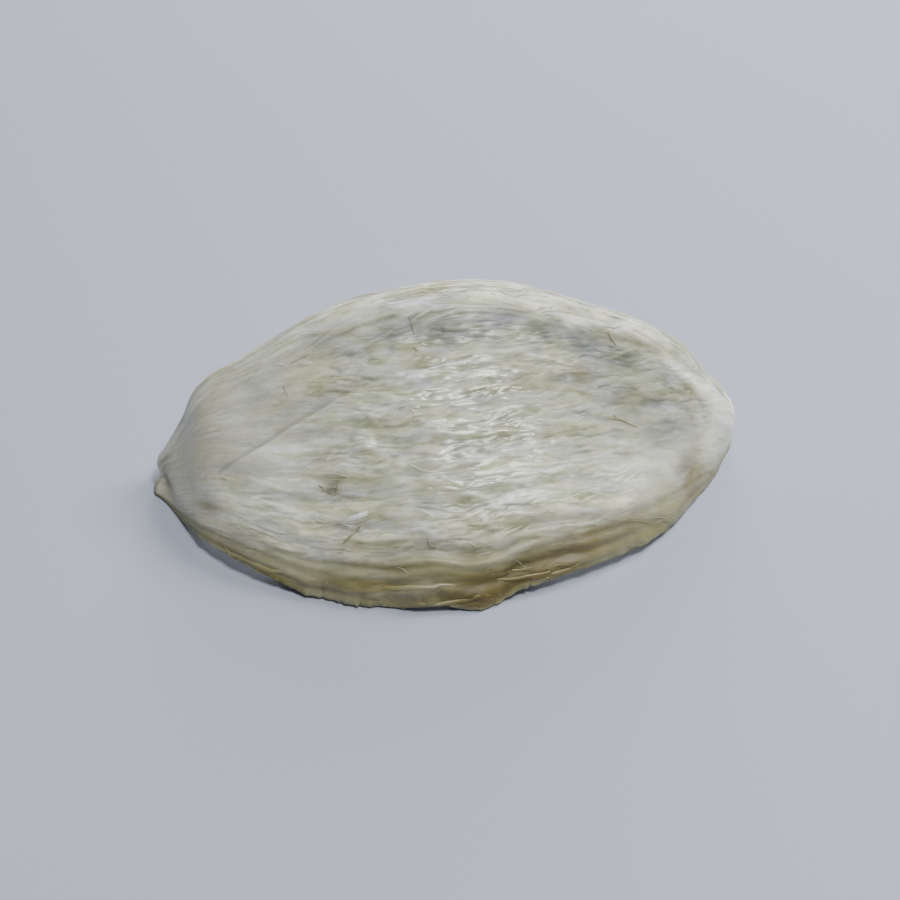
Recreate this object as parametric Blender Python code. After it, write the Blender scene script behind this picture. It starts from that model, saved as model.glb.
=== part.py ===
"""Edible bird nest: a dried half-cup shell of hardened strands, lying on its attached edge.

Its two feet point along X, its smooth lip arches over the back, its rounded outside faces
front and up, and its hollow is open to the back and to the table. Built in metres, +Z up.
"""
import bmesh
import bpy
import numpy as np

MM = 0.001

# Driving dimensions, in millimetres, at stations along the nest from its left foot to its right.
# Depth runs from the front (negative) to the back, and height is above the table.
STATION = (-55.4, -54.5, -52.8, -50.5, -48.0, -44.5, -38.0, -28.0, -16.0, -7.0,
           0.0, 4.0, 8.5, 20.0, 31.0, 40.0, 46.8, 51.0, 53.8, 55.4)
EDGE_DEPTH = (-2.0, -3.0, -6.8, -12.0, -17.0, -21.3, -27.6, -33.0, -37.3, -39.0,
              -39.6, -38.8, -37.0, -34.4, -29.8, -22.4, -13.4, -8.6, -3.8, -1.5)
EDGE_GAP = (0.0, 0.0, 0.0, 1.0, 2.2, 2.6, 2.2, 0.0, 0.0, 1.3,
            0.0, 0.0, 1.4, 2.4, 2.2, 1.4, 0.4, 0.0, 0.0, 0.0)
LIP_DEPTH = (3.0, 3.5, 4.0, 4.5, 5.0, 5.6, 6.5, 8.0, 9.0, 9.4,
             9.6, 9.6, 9.4, 8.8, 8.0, 7.0, 6.0, 5.0, 4.0, 3.0)
LIP_HEIGHT = (5.4, 5.9, 7.4, 10.8, 16.6, 19.8, 22.9, 28.8, 33.4, 34.4,
              34.8, 34.9, 34.6, 31.4, 27.1, 23.5, 19.2, 14.6, 10.4, 8.2)
BULGE = (0.12, 0.15, 0.18, 0.21, 0.24, 0.26, 0.27, 0.27, 0.27, 0.27,
         0.27, 0.27, 0.27, 0.27, 0.27, 0.26, 0.25, 0.21, 0.16, 0.12)
EDGE_HALF = (2.0, 2.5, 2.9, 3.2, 3.3, 3.2, 3.0, 3.1, 3.1, 3.0,
             3.1, 3.1, 3.0, 2.9, 3.0, 3.1, 3.2, 2.9, 2.5, 2.0)
LIP_HALF = (1.8, 2.5, 3.0, 3.3, 3.3, 3.2, 3.1, 3.0, 3.0, 3.1,
            3.1, 3.1, 3.1, 3.1, 3.1, 3.2, 3.2, 2.9, 2.4, 1.8)
WALL_HALF = (1.9, 2.4, 2.8, 2.8, 2.6, 2.3, 1.9, 1.6, 1.5, 1.5,
             1.5, 1.5, 1.5, 1.5, 1.6, 1.8, 2.3, 2.6, 2.3, 1.9)
SKEW = -0.13            # how far the rounding of the wall sits towards the edge, of its width
FLARE = 6.0             # height over which the wall turns from upright to square on its line
EDGE_BLEND = 0.30       # share of the wall's width over which the edge thins to the wall
LIP_BLEND = 0.34        # share of the wall's width over which the wall thickens to the lip

# Relief on the outside: the place along X in mm, the place across from edge 0 to lip 1.
CREASE_X = (-45.0, -43.3, -36.3, -28.6, -17.8, -8.0)
CREASE_ACROSS = (0.33, 0.39, 0.50, 0.58, 0.65, 0.70)
CREASE_HIGH = 1.1
ROPE_X = (-50.0, -39.0, -26.8, -12.6, 1.7, 16.4, 32.4)
ROPES = (               # across at each ROPE_X, height, half width across
    ((0.16, 0.16, 0.19, 0.18, 0.16, 0.13, 0.12), 0.75, 0.022),
    ((0.10, 0.11, 0.13, 0.12, 0.11, 0.09, 0.08), 0.60, 0.018),
    ((0.24, 0.22, 0.25, 0.24, 0.22, 0.19, 0.17), 0.45, 0.020),
)
ROPE_ENDS = (-52.0, 36.0)
LAMINA_PITCH = 0.036
LAMINA_HIGH = 0.22
RIM_START = 0.83        # across, where the raised rim band begins
RIM_HIGH = 1.0
RIM_VALLEY = 0.55
RIM_FROM = (-20.0, -4.0)
FOOT_RIM_X = (43.5, 49.0)
FOOT_RIM_HIGH = 1.0
LUMPS = (               # place along, place across, height, radius
    (-29.7, 0.03, 0.9, 2.6),
    (-22.5, 0.02, 1.0, 2.8),
    (-17.8, 0.03, 0.6, 2.0),
    (-10.6, 0.03, 0.9, 3.0),
    (1.6, 0.03, 0.6, 3.0),
    (22.0, 0.06, 0.7, 3.2),
    (-48.1, 0.19, -1.7, 2.3),
    (-45.0, 0.27, 0.7, 2.2),
    (-32.5, 0.99, 0.7, 1.1),
    (-51.9, 0.97, 1.1, 1.9),
    (44.4, 0.15, -0.8, 3.0),
    (35.0, 0.58, -0.6, 5.0),
    (27.0, 0.76, -0.5, 5.5),
    (10.0, 0.36, 0.5, 8.0),
    (-34.0, 0.74, 0.5, 9.0),
)
WAVES = (               # waves per mm along, waves across, phase, height
    (0.012, 6.2, 0.4, 0.22),
    (-0.017, 9.7, 1.9, 0.17),
    (0.009, 14.3, 4.1, 0.13),
    (0.055, 2.1, 2.7, 0.18),
)
FOOT_SMOOTH = 26.0      # length over which the long ridges die out towards each foot
TIP_SMOOTH = 6.0        # length over which the lumps die out at each foot's end
NOTCH_HEIGHT = 4.6      # the notch between tip and nub at the left foot
NOTCH_DEEP = 1.5
NOTCH_HALF = 1.1
NOTCH_REACH = 3.0       # how far along the foot the notch dies out

# Mesh spacing
ROWS = 72
OUTER_STEPS = 39
INNER_STEPS = 15
LIP_STEPS = 5
EDGE_STEPS = 6
LINE_STEPS = 160


def blend(value):
    """Smooth step between 0 and 1."""
    value = np.clip(value, 0.0, 1.0)
    return value * value * (3.0 - 2.0 * value)


def through(places, values, at):
    """Smooth curve through a few points, with no overshoot between them."""
    places = np.asarray(places, float)
    values = np.asarray(values, float)
    at = np.clip(at, places[0], places[-1])
    step = np.diff(places)
    rise = np.diff(values) / step
    slope = np.zeros(len(places))
    same = rise[:-1] * rise[1:] > 0.0
    slope[1:-1][same] = 2.0 * rise[:-1][same] * rise[1:][same] / (rise[:-1][same] + rise[1:][same])
    slope[0] = rise[0]
    slope[-1] = rise[-1]
    i = np.clip(np.searchsorted(places, at, side="right") - 1, 0, len(places) - 2)
    t = (at - places[i]) / step[i]
    start = (2 * t**3 - 3 * t**2 + 1) * values[i] + (t**3 - 2 * t**2 + t) * step[i] * slope[i]
    end = (-2 * t**3 + 3 * t**2) * values[i + 1] + (t**3 - t**2) * step[i] * slope[i + 1]
    return start + end


def bump(distance, half):
    """Rounded bump of height 1 that falls away over about twice its half width."""
    return np.exp(-((distance / half) ** 2))


def middle_line(x):
    """Middle of the wall at one station, from the attached edge to the lip."""
    edge = np.array([through(STATION, EDGE_DEPTH, x), through(STATION, EDGE_GAP, x)])
    lip = np.array([through(STATION, LIP_DEPTH, x), through(STATION, LIP_HEIGHT, x)])
    chord = lip - edge
    out = np.array([-chord[1], chord[0]])
    pull = (edge + lip) / 2 + out * through(STATION, BULGE, x) + chord * SKEW
    s = np.linspace(0.0, 1.0, LINE_STEPS)[:, None]
    points = (1 - s) ** 2 * edge + 2 * s * (1 - s) * pull + s * s * lip
    along = 2 * (1 - s) * (pull - edge) + 2 * s * (lip - pull)
    along = along / np.linalg.norm(along, axis=1)[:, None]
    steps = np.hypot(*np.diff(points, axis=0).T)
    return points, along, np.concatenate([[0.0], np.cumsum(steps)])


def half_thickness(x, at, width):
    """Half the wall's thickness at a distance from the attached edge."""
    wall = through(STATION, WALL_HALF, x)
    edge = through(STATION, EDGE_HALF, x)
    lip = through(STATION, LIP_HALF, x)
    near_edge = 1.0 - blend(at / (EDGE_BLEND * width))
    near_lip = 1.0 - blend((width - at) / (LIP_BLEND * width))
    corner = 1.0 - np.clip(at / 1.6, 0.0, 1.0)
    body = wall + (edge - wall) * near_edge + (lip - wall) * near_lip
    return body * (0.72 + 0.28 * np.sqrt(1.0 - corner**2))


def ledge(x, across):
    """Long crease from the left foot, with the strands below it standing proud."""
    below = through(CREASE_X, CREASE_ACROSS, x) - across
    step = blend((below + 0.012) / 0.03) * (1.0 - blend((below - 0.03) / 0.24))
    window = blend((x + 47.0) / 3.0) * (1.0 - blend((x + 20.0) / 14.0))
    return CREASE_HIGH * step * window


def ropes(x, across):
    """Thick strands that run from foot to foot above the attached edge, and fine layers below."""
    window = blend((x - ROPE_ENDS[0]) / 8.0) * (1.0 - blend((x - ROPE_ENDS[1] + 12.0) / 12.0))
    total = np.zeros_like(across)
    for places, high, half in ROPES:
        total += high * bump(across - through(ROPE_X, places, x), half)
    layers = LAMINA_HIGH * np.sin(2 * np.pi * across / LAMINA_PITCH + 0.05 * x)
    return window * (total + layers * (1.0 - blend((across - 0.10) / 0.04)))


def rim(x, across):
    """Raised band along the lip and round the right foot, with a valley inside it."""
    window = 0.35 + 0.65 * blend((x - RIM_FROM[0]) / (RIM_FROM[1] - RIM_FROM[0]))
    band = RIM_HIGH * blend((across - RIM_START) / 0.06) - RIM_VALLEY * bump(across - 0.79, 0.05)
    foot = FOOT_RIM_HIGH * blend((x - FOOT_RIM_X[0]) / (FOOT_RIM_X[1] - FOOT_RIM_X[0]))
    return window * band + foot * (1.0 - blend((across - 0.7) / 0.15)) * blend(across / 0.2)


def relief(x, across, width):
    """Everything that stands out of or sinks into the outside at one station."""
    total = ledge(x, across) + ropes(x, across)
    rough = np.zeros_like(across)
    for along, over, phase, high in WAVES:
        total += high * np.sin(2 * np.pi * (along * x + over * across) + phase)
    ends = blend((x - STATION[0]) / FOOT_SMOOTH) * blend((STATION[-1] - x) / FOOT_SMOOTH)
    tips = blend((x - STATION[0]) / TIP_SMOOTH) * blend((STATION[-1] - x) / TIP_SMOOTH)
    for place, over, high, radius in LUMPS:
        rough += high * bump(np.hypot(x - place, (across - over) * width), radius)
    return total * ends + (rough + rim(x, across)) * tips


def inner_relief(x, across):
    """Shallow ridges of the strands inside the hollow."""
    total = np.zeros_like(across)
    for along, over, phase, high in WAVES:
        total += 0.8 * high * np.sin(2 * np.pi * (along * x - over * across) + phase + 1.3)
    return total * blend(across / 0.15) * blend((1.0 - across) / 0.15)


def offset(line, at, side, half):
    """Points beside the middle line, out (side 1) or in (side -1)."""
    points, along, reach = line
    y = np.interp(at, reach, points[:, 0])
    z = np.interp(at, reach, points[:, 1])
    turn = blend(at / FLARE)
    out_y = -np.interp(at, reach, along[:, 1]) * turn - (1.0 - turn)
    out_z = np.interp(at, reach, along[:, 0]) * turn
    size = np.hypot(out_y, out_z)
    return np.stack([y + side * out_y * half / size, z + side * out_z * half / size], -1)


def section(x):
    """Closed outline of the wall at one station: outside, lip, inside, attached edge."""
    line = middle_line(x)
    width = line[2][-1]
    lip = float(through(STATION, LIP_HALF, x))
    spread = through((0.0, 0.4, 0.82, 1.0), (0.0, 0.24, 0.84, 1.0), np.linspace(0, 1, OUTER_STEPS))
    outer_at = spread * (width - lip)
    inner_at = np.linspace(width - lip, 0.0, INNER_STEPS)
    outer_half = half_thickness(x, outer_at, width) + relief(x, outer_at / width, width)
    inner_half = half_thickness(x, inner_at, width) + inner_relief(x, inner_at / width)
    outer = offset(line, outer_at, 1, outer_half)
    inner = offset(line, inner_at, -1, inner_half)
    turn = np.linspace(0.0, np.pi, 2 * LIP_STEPS + 1)[1:-1]
    mix = (1.0 - np.cos(turn)) / 2
    lip_half = (outer_half[-1] * (1.0 - mix) + inner_half[0] * mix) * np.cos(turn)
    lip_at = width - lip + lip * np.sin(turn)
    over = offset(line, lip_at, 1, lip_half)
    under = np.linspace(inner[-1], outer[0], EDGE_STEPS)[1:-1]
    return np.vstack([outer, over, inner, under])


def rows_along():
    """Places of the rows along the nest, closer together towards the feet."""
    share = np.linspace(0.0, 1.0, ROWS)
    eased = 0.45 * (0.5 - 0.5 * np.cos(np.pi * share)) + 0.55 * share
    return STATION[0] + (STATION[-1] - STATION[0]) * eased


def end_rings(row, direction):
    """Rounded end of a foot: rings that shrink towards a point."""
    centre = row.mean(axis=0)
    rings = []
    for scale, reach in ((0.80, 0.55), (0.45, 0.95)):
        ring = centre + (row - centre) * scale
        ring[:, 0] = row[0, 0] + direction * reach
        rings.append(ring)
    tip = centre.copy()
    tip[0] = row[0, 0] + direction * 1.1
    return rings, tip


def cut_notch(rings):
    """Pushes in the left foot's end between its tip and the nub above it."""
    start = STATION[0] + NOTCH_REACH
    for ring in rings:
        near = blend((start - ring[:, 0]) / NOTCH_REACH)
        ring[:, 0] += NOTCH_DEEP * bump(ring[:, 2] - NOTCH_HEIGHT, NOTCH_HALF) * near


def shell_rings():
    """Rings of points in millimetres from the left foot to the right, and the two end points."""
    rings = []
    for x in rows_along():
        outline = section(x)
        rings.append(np.column_stack([np.full(len(outline), x), outline]))
    left_rings, left_tip = end_rings(rings[0], -1)
    right_rings, right_tip = end_rings(rings[-1], 1)
    rings = left_rings[::-1] + rings + right_rings
    cut_notch(rings)
    return rings, left_tip, right_tip


def origin_of(rings, tips):
    """Middle of the footprint box, on the table."""
    points = np.vstack(rings + [tip[None] for tip in tips])
    low = points.min(axis=0)
    high = points.max(axis=0)
    return np.array([(low[0] + high[0]) / 2, (low[1] + high[1]) / 2, low[2]])


def closed_loop(shape, points):
    """Edges of one closed ring."""
    corners = [shape.verts.new(point) for point in points]
    edges = []
    for here, following in zip(corners, corners[1:] + corners[:1]):
        edges.append(shape.edges.new((here, following)))
    return edges


def close_end(shape, edges, point):
    """Closes the end of a foot with triangles to its end point."""
    tip = shape.verts.new(point)
    for edge in edges:
        shape.faces.new((edge.verts[0], edge.verts[1], tip))


def build_shell():
    """Lofts the rings into one closed body."""
    rings, left_tip, right_tip = shell_rings()
    origin = origin_of(rings, (left_tip, right_tip))
    shape = bmesh.new()
    loops = [closed_loop(shape, (ring - origin) * MM) for ring in rings]
    for here, following in zip(loops, loops[1:]):
        bmesh.ops.bridge_loops(shape, edges=here + following)
    close_end(shape, loops[0], (left_tip - origin) * MM)
    close_end(shape, loops[-1], (right_tip - origin) * MM)
    bmesh.ops.triangulate(shape, faces=shape.faces[:])
    bmesh.ops.recalc_face_normals(shape, faces=shape.faces[:])
    mesh = bpy.data.meshes.new("nest")
    shape.to_mesh(mesh)
    shape.free()
    mesh.shade_smooth()
    return mesh


def nest_material():
    """Pale, slightly glossy dried strands."""
    material = bpy.data.materials.new("nest_strands")
    material.use_nodes = True
    shader = material.node_tree.nodes["Principled BSDF"]
    shader.inputs["Base Color"].default_value = (0.72, 0.70, 0.58, 1.0)
    shader.inputs["Roughness"].default_value = 0.55
    shader.inputs["Metallic"].default_value = 0.0
    return material


def main():
    for old in list(bpy.data.objects):
        bpy.data.objects.remove(old, do_unlink=True)
    mesh = build_shell()
    mesh.materials.append(nest_material())
    nest = bpy.data.objects.new("nest", mesh)
    bpy.context.scene.collection.objects.link(nest)


main()
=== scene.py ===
import math

import bmesh
import bpy
import numpy as np
from mathutils import Matrix, Vector


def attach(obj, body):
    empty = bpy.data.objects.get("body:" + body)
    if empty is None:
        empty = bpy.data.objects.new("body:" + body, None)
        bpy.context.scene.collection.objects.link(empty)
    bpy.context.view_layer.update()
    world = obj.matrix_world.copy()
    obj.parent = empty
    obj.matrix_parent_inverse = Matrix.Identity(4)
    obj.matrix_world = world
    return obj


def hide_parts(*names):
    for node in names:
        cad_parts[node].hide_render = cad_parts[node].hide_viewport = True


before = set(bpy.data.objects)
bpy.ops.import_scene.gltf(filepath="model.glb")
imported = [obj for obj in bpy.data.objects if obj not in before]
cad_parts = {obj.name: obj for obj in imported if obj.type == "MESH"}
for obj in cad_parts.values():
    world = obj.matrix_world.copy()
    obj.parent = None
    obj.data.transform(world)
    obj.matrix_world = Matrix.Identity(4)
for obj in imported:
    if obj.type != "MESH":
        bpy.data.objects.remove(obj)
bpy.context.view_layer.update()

MM = 0.001

# The shell's shape, in millimetres, at stations along the nest from its left foot to its right.
ORIGIN = (0.0, -16.668, 0.0)     # middle of the footprint box, seen from the line of the feet
STATION = (-55.4, -54.5, -52.8, -50.5, -48.0, -44.5, -38.0, -28.0, -16.0, -7.0,
           0.0, 4.0, 8.5, 20.0, 31.0, 40.0, 46.8, 51.0, 53.8, 55.4)
EDGE_DEPTH = (-2.0, -3.0, -6.8, -12.0, -17.0, -21.3, -27.6, -33.0, -37.3, -39.0,
              -39.6, -38.8, -37.0, -34.4, -29.8, -22.4, -13.4, -8.6, -3.8, -1.5)
EDGE_GAP = (0.0, 0.0, 0.0, 1.0, 2.2, 2.6, 2.2, 0.0, 0.0, 1.3,
            0.0, 0.0, 1.4, 2.4, 2.2, 1.4, 0.4, 0.0, 0.0, 0.0)
LIP_DEPTH = (3.0, 3.5, 4.0, 4.5, 5.0, 5.6, 6.5, 8.0, 9.0, 9.4,
             9.6, 9.6, 9.4, 8.8, 8.0, 7.0, 6.0, 5.0, 4.0, 3.0)
LIP_HEIGHT = (5.4, 5.9, 7.4, 10.8, 16.6, 19.8, 22.9, 28.8, 33.4, 34.4,
              34.8, 34.9, 34.6, 31.4, 27.1, 23.5, 19.2, 14.6, 10.4, 8.2)
BULGE = (0.12, 0.15, 0.18, 0.21, 0.24, 0.26, 0.27, 0.27, 0.27, 0.27,
         0.27, 0.27, 0.27, 0.27, 0.27, 0.26, 0.25, 0.21, 0.16, 0.12)
EDGE_HALF = (2.0, 2.5, 2.9, 3.2, 3.3, 3.2, 3.0, 3.1, 3.1, 3.0,
             3.1, 3.1, 3.0, 2.9, 3.0, 3.1, 3.2, 2.9, 2.5, 2.0)
LIP_HALF = (1.8, 2.5, 3.0, 3.3, 3.3, 3.2, 3.1, 3.0, 3.0, 3.1,
            3.1, 3.1, 3.1, 3.1, 3.1, 3.2, 3.2, 2.9, 2.4, 1.8)
WALL_HALF = (1.9, 2.4, 2.8, 2.8, 2.6, 2.3, 1.9, 1.6, 1.5, 1.5,
             1.5, 1.5, 1.5, 1.5, 1.6, 1.8, 2.3, 2.6, 2.3, 1.9)
SKEW = -0.13
FLARE = 6.0
EDGE_BLEND = 0.30
LIP_BLEND = 0.34
LINE_STEPS = 240

# Relief outside: the place along X in mm, the place across from edge 0 to lip 1.
CREASE_X = (-45.0, -43.3, -36.3, -28.6, -17.8, -8.0)
CREASE_ACROSS = (0.33, 0.39, 0.50, 0.58, 0.65, 0.70)
CREASE_HIGH = 1.1
ROPE_X = (-50.0, -39.0, -26.8, -12.6, 1.7, 16.4, 32.4)
ROPES = (
    ((0.16, 0.16, 0.19, 0.18, 0.16, 0.13, 0.12), 0.75, 0.022),
    ((0.10, 0.11, 0.13, 0.12, 0.11, 0.09, 0.08), 0.60, 0.018),
    ((0.24, 0.22, 0.25, 0.24, 0.22, 0.19, 0.17), 0.45, 0.020),
)
ROPE_ENDS = (-52.0, 36.0)
LAMINA_PITCH = 0.036
LAMINA_HIGH = 0.22
RIM_START = 0.83
RIM_HIGH = 1.0
RIM_VALLEY = 0.55
RIM_FROM = (-20.0, -4.0)
FOOT_RIM_X = (43.5, 49.0)
FOOT_RIM_HIGH = 1.0
LUMPS = (
    (-29.7, 0.03, 0.9, 2.6),
    (-22.5, 0.02, 1.0, 2.8),
    (-17.8, 0.03, 0.6, 2.0),
    (-10.6, 0.03, 0.9, 3.0),
    (1.6, 0.03, 0.6, 3.0),
    (22.0, 0.06, 0.7, 3.2),
    (-48.1, 0.19, -1.7, 2.3),
    (-45.0, 0.27, 0.7, 2.2),
    (-32.5, 0.99, 0.7, 1.1),
    (-51.9, 0.97, 1.1, 1.9),
    (44.4, 0.15, -0.8, 3.0),
    (35.0, 0.58, -0.6, 5.0),
    (27.0, 0.76, -0.5, 5.5),
    (10.0, 0.36, 0.5, 8.0),
    (-34.0, 0.74, 0.5, 9.0),
)
WAVES = (
    (0.012, 6.2, 0.4, 0.22),
    (-0.017, 9.7, 1.9, 0.17),
    (0.009, 14.3, 4.1, 0.13),
    (0.055, 2.1, 2.7, 0.18),
)
FOOT_SMOOTH = 26.0
TIP_SMOOTH = 6.0
NOTCH_HEIGHT = 3.1
NOTCH_DEEP = 1.2
NOTCH_HALF = 1.5
NOTCH_REACH = 3.0
TOE_REACH = 0.7
NUB_HEIGHT = 8.5
NUB_HALF = 3.0
NUB_REACH = 1.0

# Spacing of the fine skin, and the share of the way round the wall that each side takes.
SKIN_ROWS = 224
SKIN_OUTER = 300
SKIN_INNER = 84
SKIN_LIP = 14
SKIN_EDGE = 14
OUTER_SHARE = 0.50
LIP_SHARE = 0.58
INNER_SHARE = 0.95

# Strand lines: their tilt in the side view, the lowest and highest line, and the valley under the lip band where shade
# is painted.
FLOW_TILT = math.radians(38.0)
FLOW_LOW = -28.0
FLOW_HIGH = 36.0
VALLEY_SHADE_X = (-30.0, -12.7, -3.1, 2.0, 9.9, 17.7, 25.2, 31.0, 36.4, 40.2, 44.0, 45.8, 46.6)
VALLEY_SHADE_ACROSS = (0.79, 0.80, 0.805, 0.80, 0.82, 0.835, 0.825, 0.80, 0.745, 0.69, 0.58, 0.46, 0.35)

# Amber tints: stains along the attached edge, and painted shade along the inner border of the pale bands and in the pit
# by the left foot: place along, place across, radius along, radius across (of the width), strength.
AMBER = (
    (9.0, 0.05, 9.0, 0.035, 1.0),
    (1.0, 0.03, 7.0, 0.03, 0.7),
    (17.0, 0.05, 6.0, 0.03, 0.8),
    (26.0, 0.075, 8.0, 0.045, 0.85),
    # Painted shade along the inner border of the band round the right foot and below the lip band.
    (44.6, 0.15, 2.0, 0.10, 0.7),
    (46.8, 0.33, 1.5, 0.14, 0.45),
    (36.0, 0.845, 8.0, 0.022, 0.42),
    (14.0, 0.88, 16.0, 0.018, 0.25),
    (46.3, 0.55, 1.6, 0.12, 0.40),
    # Painted shade in the pit by the left foot.
    (-46.8, 0.19, 3.4, 0.04, 0.2),
    # Stains along the attached edge, and a mark by the lip.
    (-30.0, 0.05, 16.0, 0.04, 0.35),
    (-6.0, 0.02, 20.0, 0.07, 0.40),
    (11.6, 0.965, 0.8, 0.01, 0.9),
)


# Painted shade: broad greyer parts standing in for shade under the lip band, over the right of the outside and at the
# left foot's end: place along, place across, reaches, strength.
PAINTED_SHADE = (
    (-20.0, 0.850, 9.0, 0.030, 0.50),
    (-9.0, 0.832, 8.0, 0.044, 0.90),
    (1.0, 0.815, 9.0, 0.058, 1.00),
    (10.0, 0.838, 7.0, 0.045, 1.00),
    (18.0, 0.800, 7.0, 0.060, 0.95),
    (26.0, 0.790, 7.0, 0.070, 1.00),
    (33.0, 0.740, 7.0, 0.080, 0.95),
    (27.0, 0.640, 7.0, 0.095, 0.75),
    (35.0, 0.560, 10.0, 0.140, 0.75),
    (43.0, 0.600, 4.5, 0.150, 0.72),
    (40.0, 0.430, 6.5, 0.090, 0.78),
    (44.0, 0.220, 2.5, 0.090, 0.40),
    (6.0, 0.690, 20.0, 0.120, 0.38),
    (-20.0, 0.640, 11.0, 0.070, 0.28),
    (6.0, 0.470, 12.0, 0.050, 0.20),
    (23.0, 0.500, 15.0, 0.130, 0.24),
    (-38.0, 0.600, 12.0, 0.300, 0.16),
    (-54.8, 0.700, 2.2, 0.400, 0.65),
    (-54.8, 1.000, 1.6, 0.400, 0.80),
)

# Pale parts: mostly painted light on parts made brighter (the low middle, the tongue below the crease, the left foot),
# with a few pale spots of the strands' own: place along, place across, reaches, strength.
PALE = (
    (17.0, 0.28, 14.0, 0.10, 0.40),
    (32.0, 0.22, 7.0, 0.08, 0.30),
    (-5.0, 0.19, 20.0, 0.06, 0.20),
    (-30.0, 0.47, 9.0, 0.09, 0.36),
    (-45.5, 0.125, 4.0, 0.022, 0.35),
    (-34.0, 0.220, 15.0, 0.150, 0.34),
    (-21.5, 0.160, 7.0, 0.026, 0.60),
    (-50.5, 0.50, 7.5, 0.42, 0.48),
    (28.4, 0.168, 2.2, 0.022, 0.55),
)

# Painted light on the thick band along the lip: where it begins across, and how much paler it is painted, along the
# nest.
BAND_AT = (-40.0, -20.0, -5.0, 10.0, 25.0, 33.0, 41.0, 46.0, 50.0)
BAND_FROM = (0.95, 0.92, 0.90, 0.885, 0.870, 0.860, 0.855, 0.80, 0.68)
BAND_LIGHT = (0.0, 0.18, 0.40, 0.50, 0.56, 0.58, 0.56, 0.50, 0.44)

# Inner border of the band round the right foot: place across, and place along in mm.
BAND_ACROSS = (0.0, 0.05, 0.09, 0.18, 0.33, 0.46, 0.59, 0.69, 0.80)
BAND_X = (31.0, 35.0, 41.5, 45.6, 48.6, 49.6, 48.4, 45.0, 40.0)

# Small lumps and dips of the feet: place along, place across, height, radius in mm.
FOOT_LUMPS = (
    (-51.9, 0.99, 0.8, 1.2),
    (53.6, 0.72, 1.5, 2.4),
    (53.6, 0.95, 1.0, 2.4),
    (50.0, 0.90, -0.9, 1.8),
    (49.6, 0.55, -0.3, 2.0),
    (-50.2, 0.60, -0.35, 3.0),
    (-47.6, 0.13, 0.5, 1.8),
)

# Olive shadows: the pit by the left foot, a stained cluster and two dips.
OLIVE = (
    (-46.9, 0.19, 3.6, 0.040, 0.72),
    (-50.5, 0.50, 7.5, 0.420, 0.60),
    (-23.6, 0.36, 2.0, 0.020, 0.55),
    (-36.0, 0.10, 2.4, 0.020, 0.6),
    (35.0, 0.56, 4.0, 0.035, 0.45),
    (43.0, 0.22, 3.0, 0.08, 0.5),
    (-53.5, 0.25, 5.5, 0.40, 0.50),
    (23.9, 0.655, 2.6, 0.040, 0.8),
    (17.0, 0.60, 3.0, 0.020, 0.4),
    (-24.0, 0.34, 1.6, 0.022, 0.6),
    (8.0, 0.42, 4.0, 0.020, 0.35),
)


def blend(value):
    """Smooth step between 0 and 1."""
    value = np.clip(value, 0.0, 1.0)
    return value * value * (3.0 - 2.0 * value)


def bump(distance, half):
    """Rounded bump of height 1."""
    return np.exp(-((distance / half) ** 2))


def through(places, values, at):
    """Smooth curve through a few points, with no overshoot between them."""
    places = np.asarray(places, float)
    values = np.asarray(values, float)
    at = np.clip(at, places[0], places[-1])
    step = np.diff(places)
    rise = np.diff(values) / step
    slope = np.zeros(len(places))
    same = rise[:-1] * rise[1:] > 0.0
    slope[1:-1][same] = 2.0 * rise[:-1][same] * rise[1:][same] / (rise[:-1][same] + rise[1:][same])
    slope[0] = rise[0]
    slope[-1] = rise[-1]
    i = np.clip(np.searchsorted(places, at, side="right") - 1, 0, len(places) - 2)
    t = (at - places[i]) / step[i]
    start = (2 * t**3 - 3 * t**2 + 1) * values[i] + (t**3 - 2 * t**2 + t) * step[i] * slope[i]
    end = (-2 * t**3 + 3 * t**2) * values[i + 1] + (t**3 - t**2) * step[i] * slope[i + 1]
    return start + end


TABLES = {}


def grain(x, y, seed):
    """Smooth random height between -1 and 1 over a plane."""
    if seed not in TABLES:
        TABLES[seed] = np.random.RandomState(seed).uniform(-1.0, 1.0, (128, 128))
    table = TABLES[seed]
    x = np.asarray(x, float)
    y = np.asarray(y, float)
    left = np.floor(x).astype(int)
    low = np.floor(y).astype(int)
    u = blend(x - left)
    w = blend(y - low)
    a = table[left % 128, low % 128]
    b = table[(left + 1) % 128, low % 128]
    c = table[left % 128, (low + 1) % 128]
    d = table[(left + 1) % 128, (low + 1) % 128]
    return (a * (1 - u) + b * u) * (1 - w) + (c * (1 - u) + d * u) * w


def middle_line(x):
    """Middle of the wall at one station, from the attached edge to the lip."""
    edge = np.array([through(STATION, EDGE_DEPTH, x), through(STATION, EDGE_GAP, x)])
    lip = np.array([through(STATION, LIP_DEPTH, x), through(STATION, LIP_HEIGHT, x)])
    chord = lip - edge
    out = np.array([-chord[1], chord[0]])
    pull = (edge + lip) / 2 + out * through(STATION, BULGE, x) + chord * SKEW
    s = np.linspace(0.0, 1.0, LINE_STEPS)[:, None]
    points = (1 - s) ** 2 * edge + 2 * s * (1 - s) * pull + s * s * lip
    along = 2 * (1 - s) * (pull - edge) + 2 * s * (lip - pull)
    along = along / np.linalg.norm(along, axis=1)[:, None]
    steps = np.hypot(*np.diff(points, axis=0).T)
    return points, along, np.concatenate([[0.0], np.cumsum(steps)])


def half_thickness(x, at, width):
    """Half the wall's thickness at a distance from the attached edge."""
    wall = through(STATION, WALL_HALF, x)
    edge = through(STATION, EDGE_HALF, x)
    lip = through(STATION, LIP_HALF, x)
    near_edge = 1.0 - blend(at / (EDGE_BLEND * width))
    near_lip = 1.0 - blend((width - at) / (LIP_BLEND * width))
    corner = 1.0 - np.clip(at / 1.6, 0.0, 1.0)
    body = wall + (edge - wall) * near_edge + (lip - wall) * near_lip
    return body * (0.72 + 0.28 * np.sqrt(1.0 - corner**2))


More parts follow.
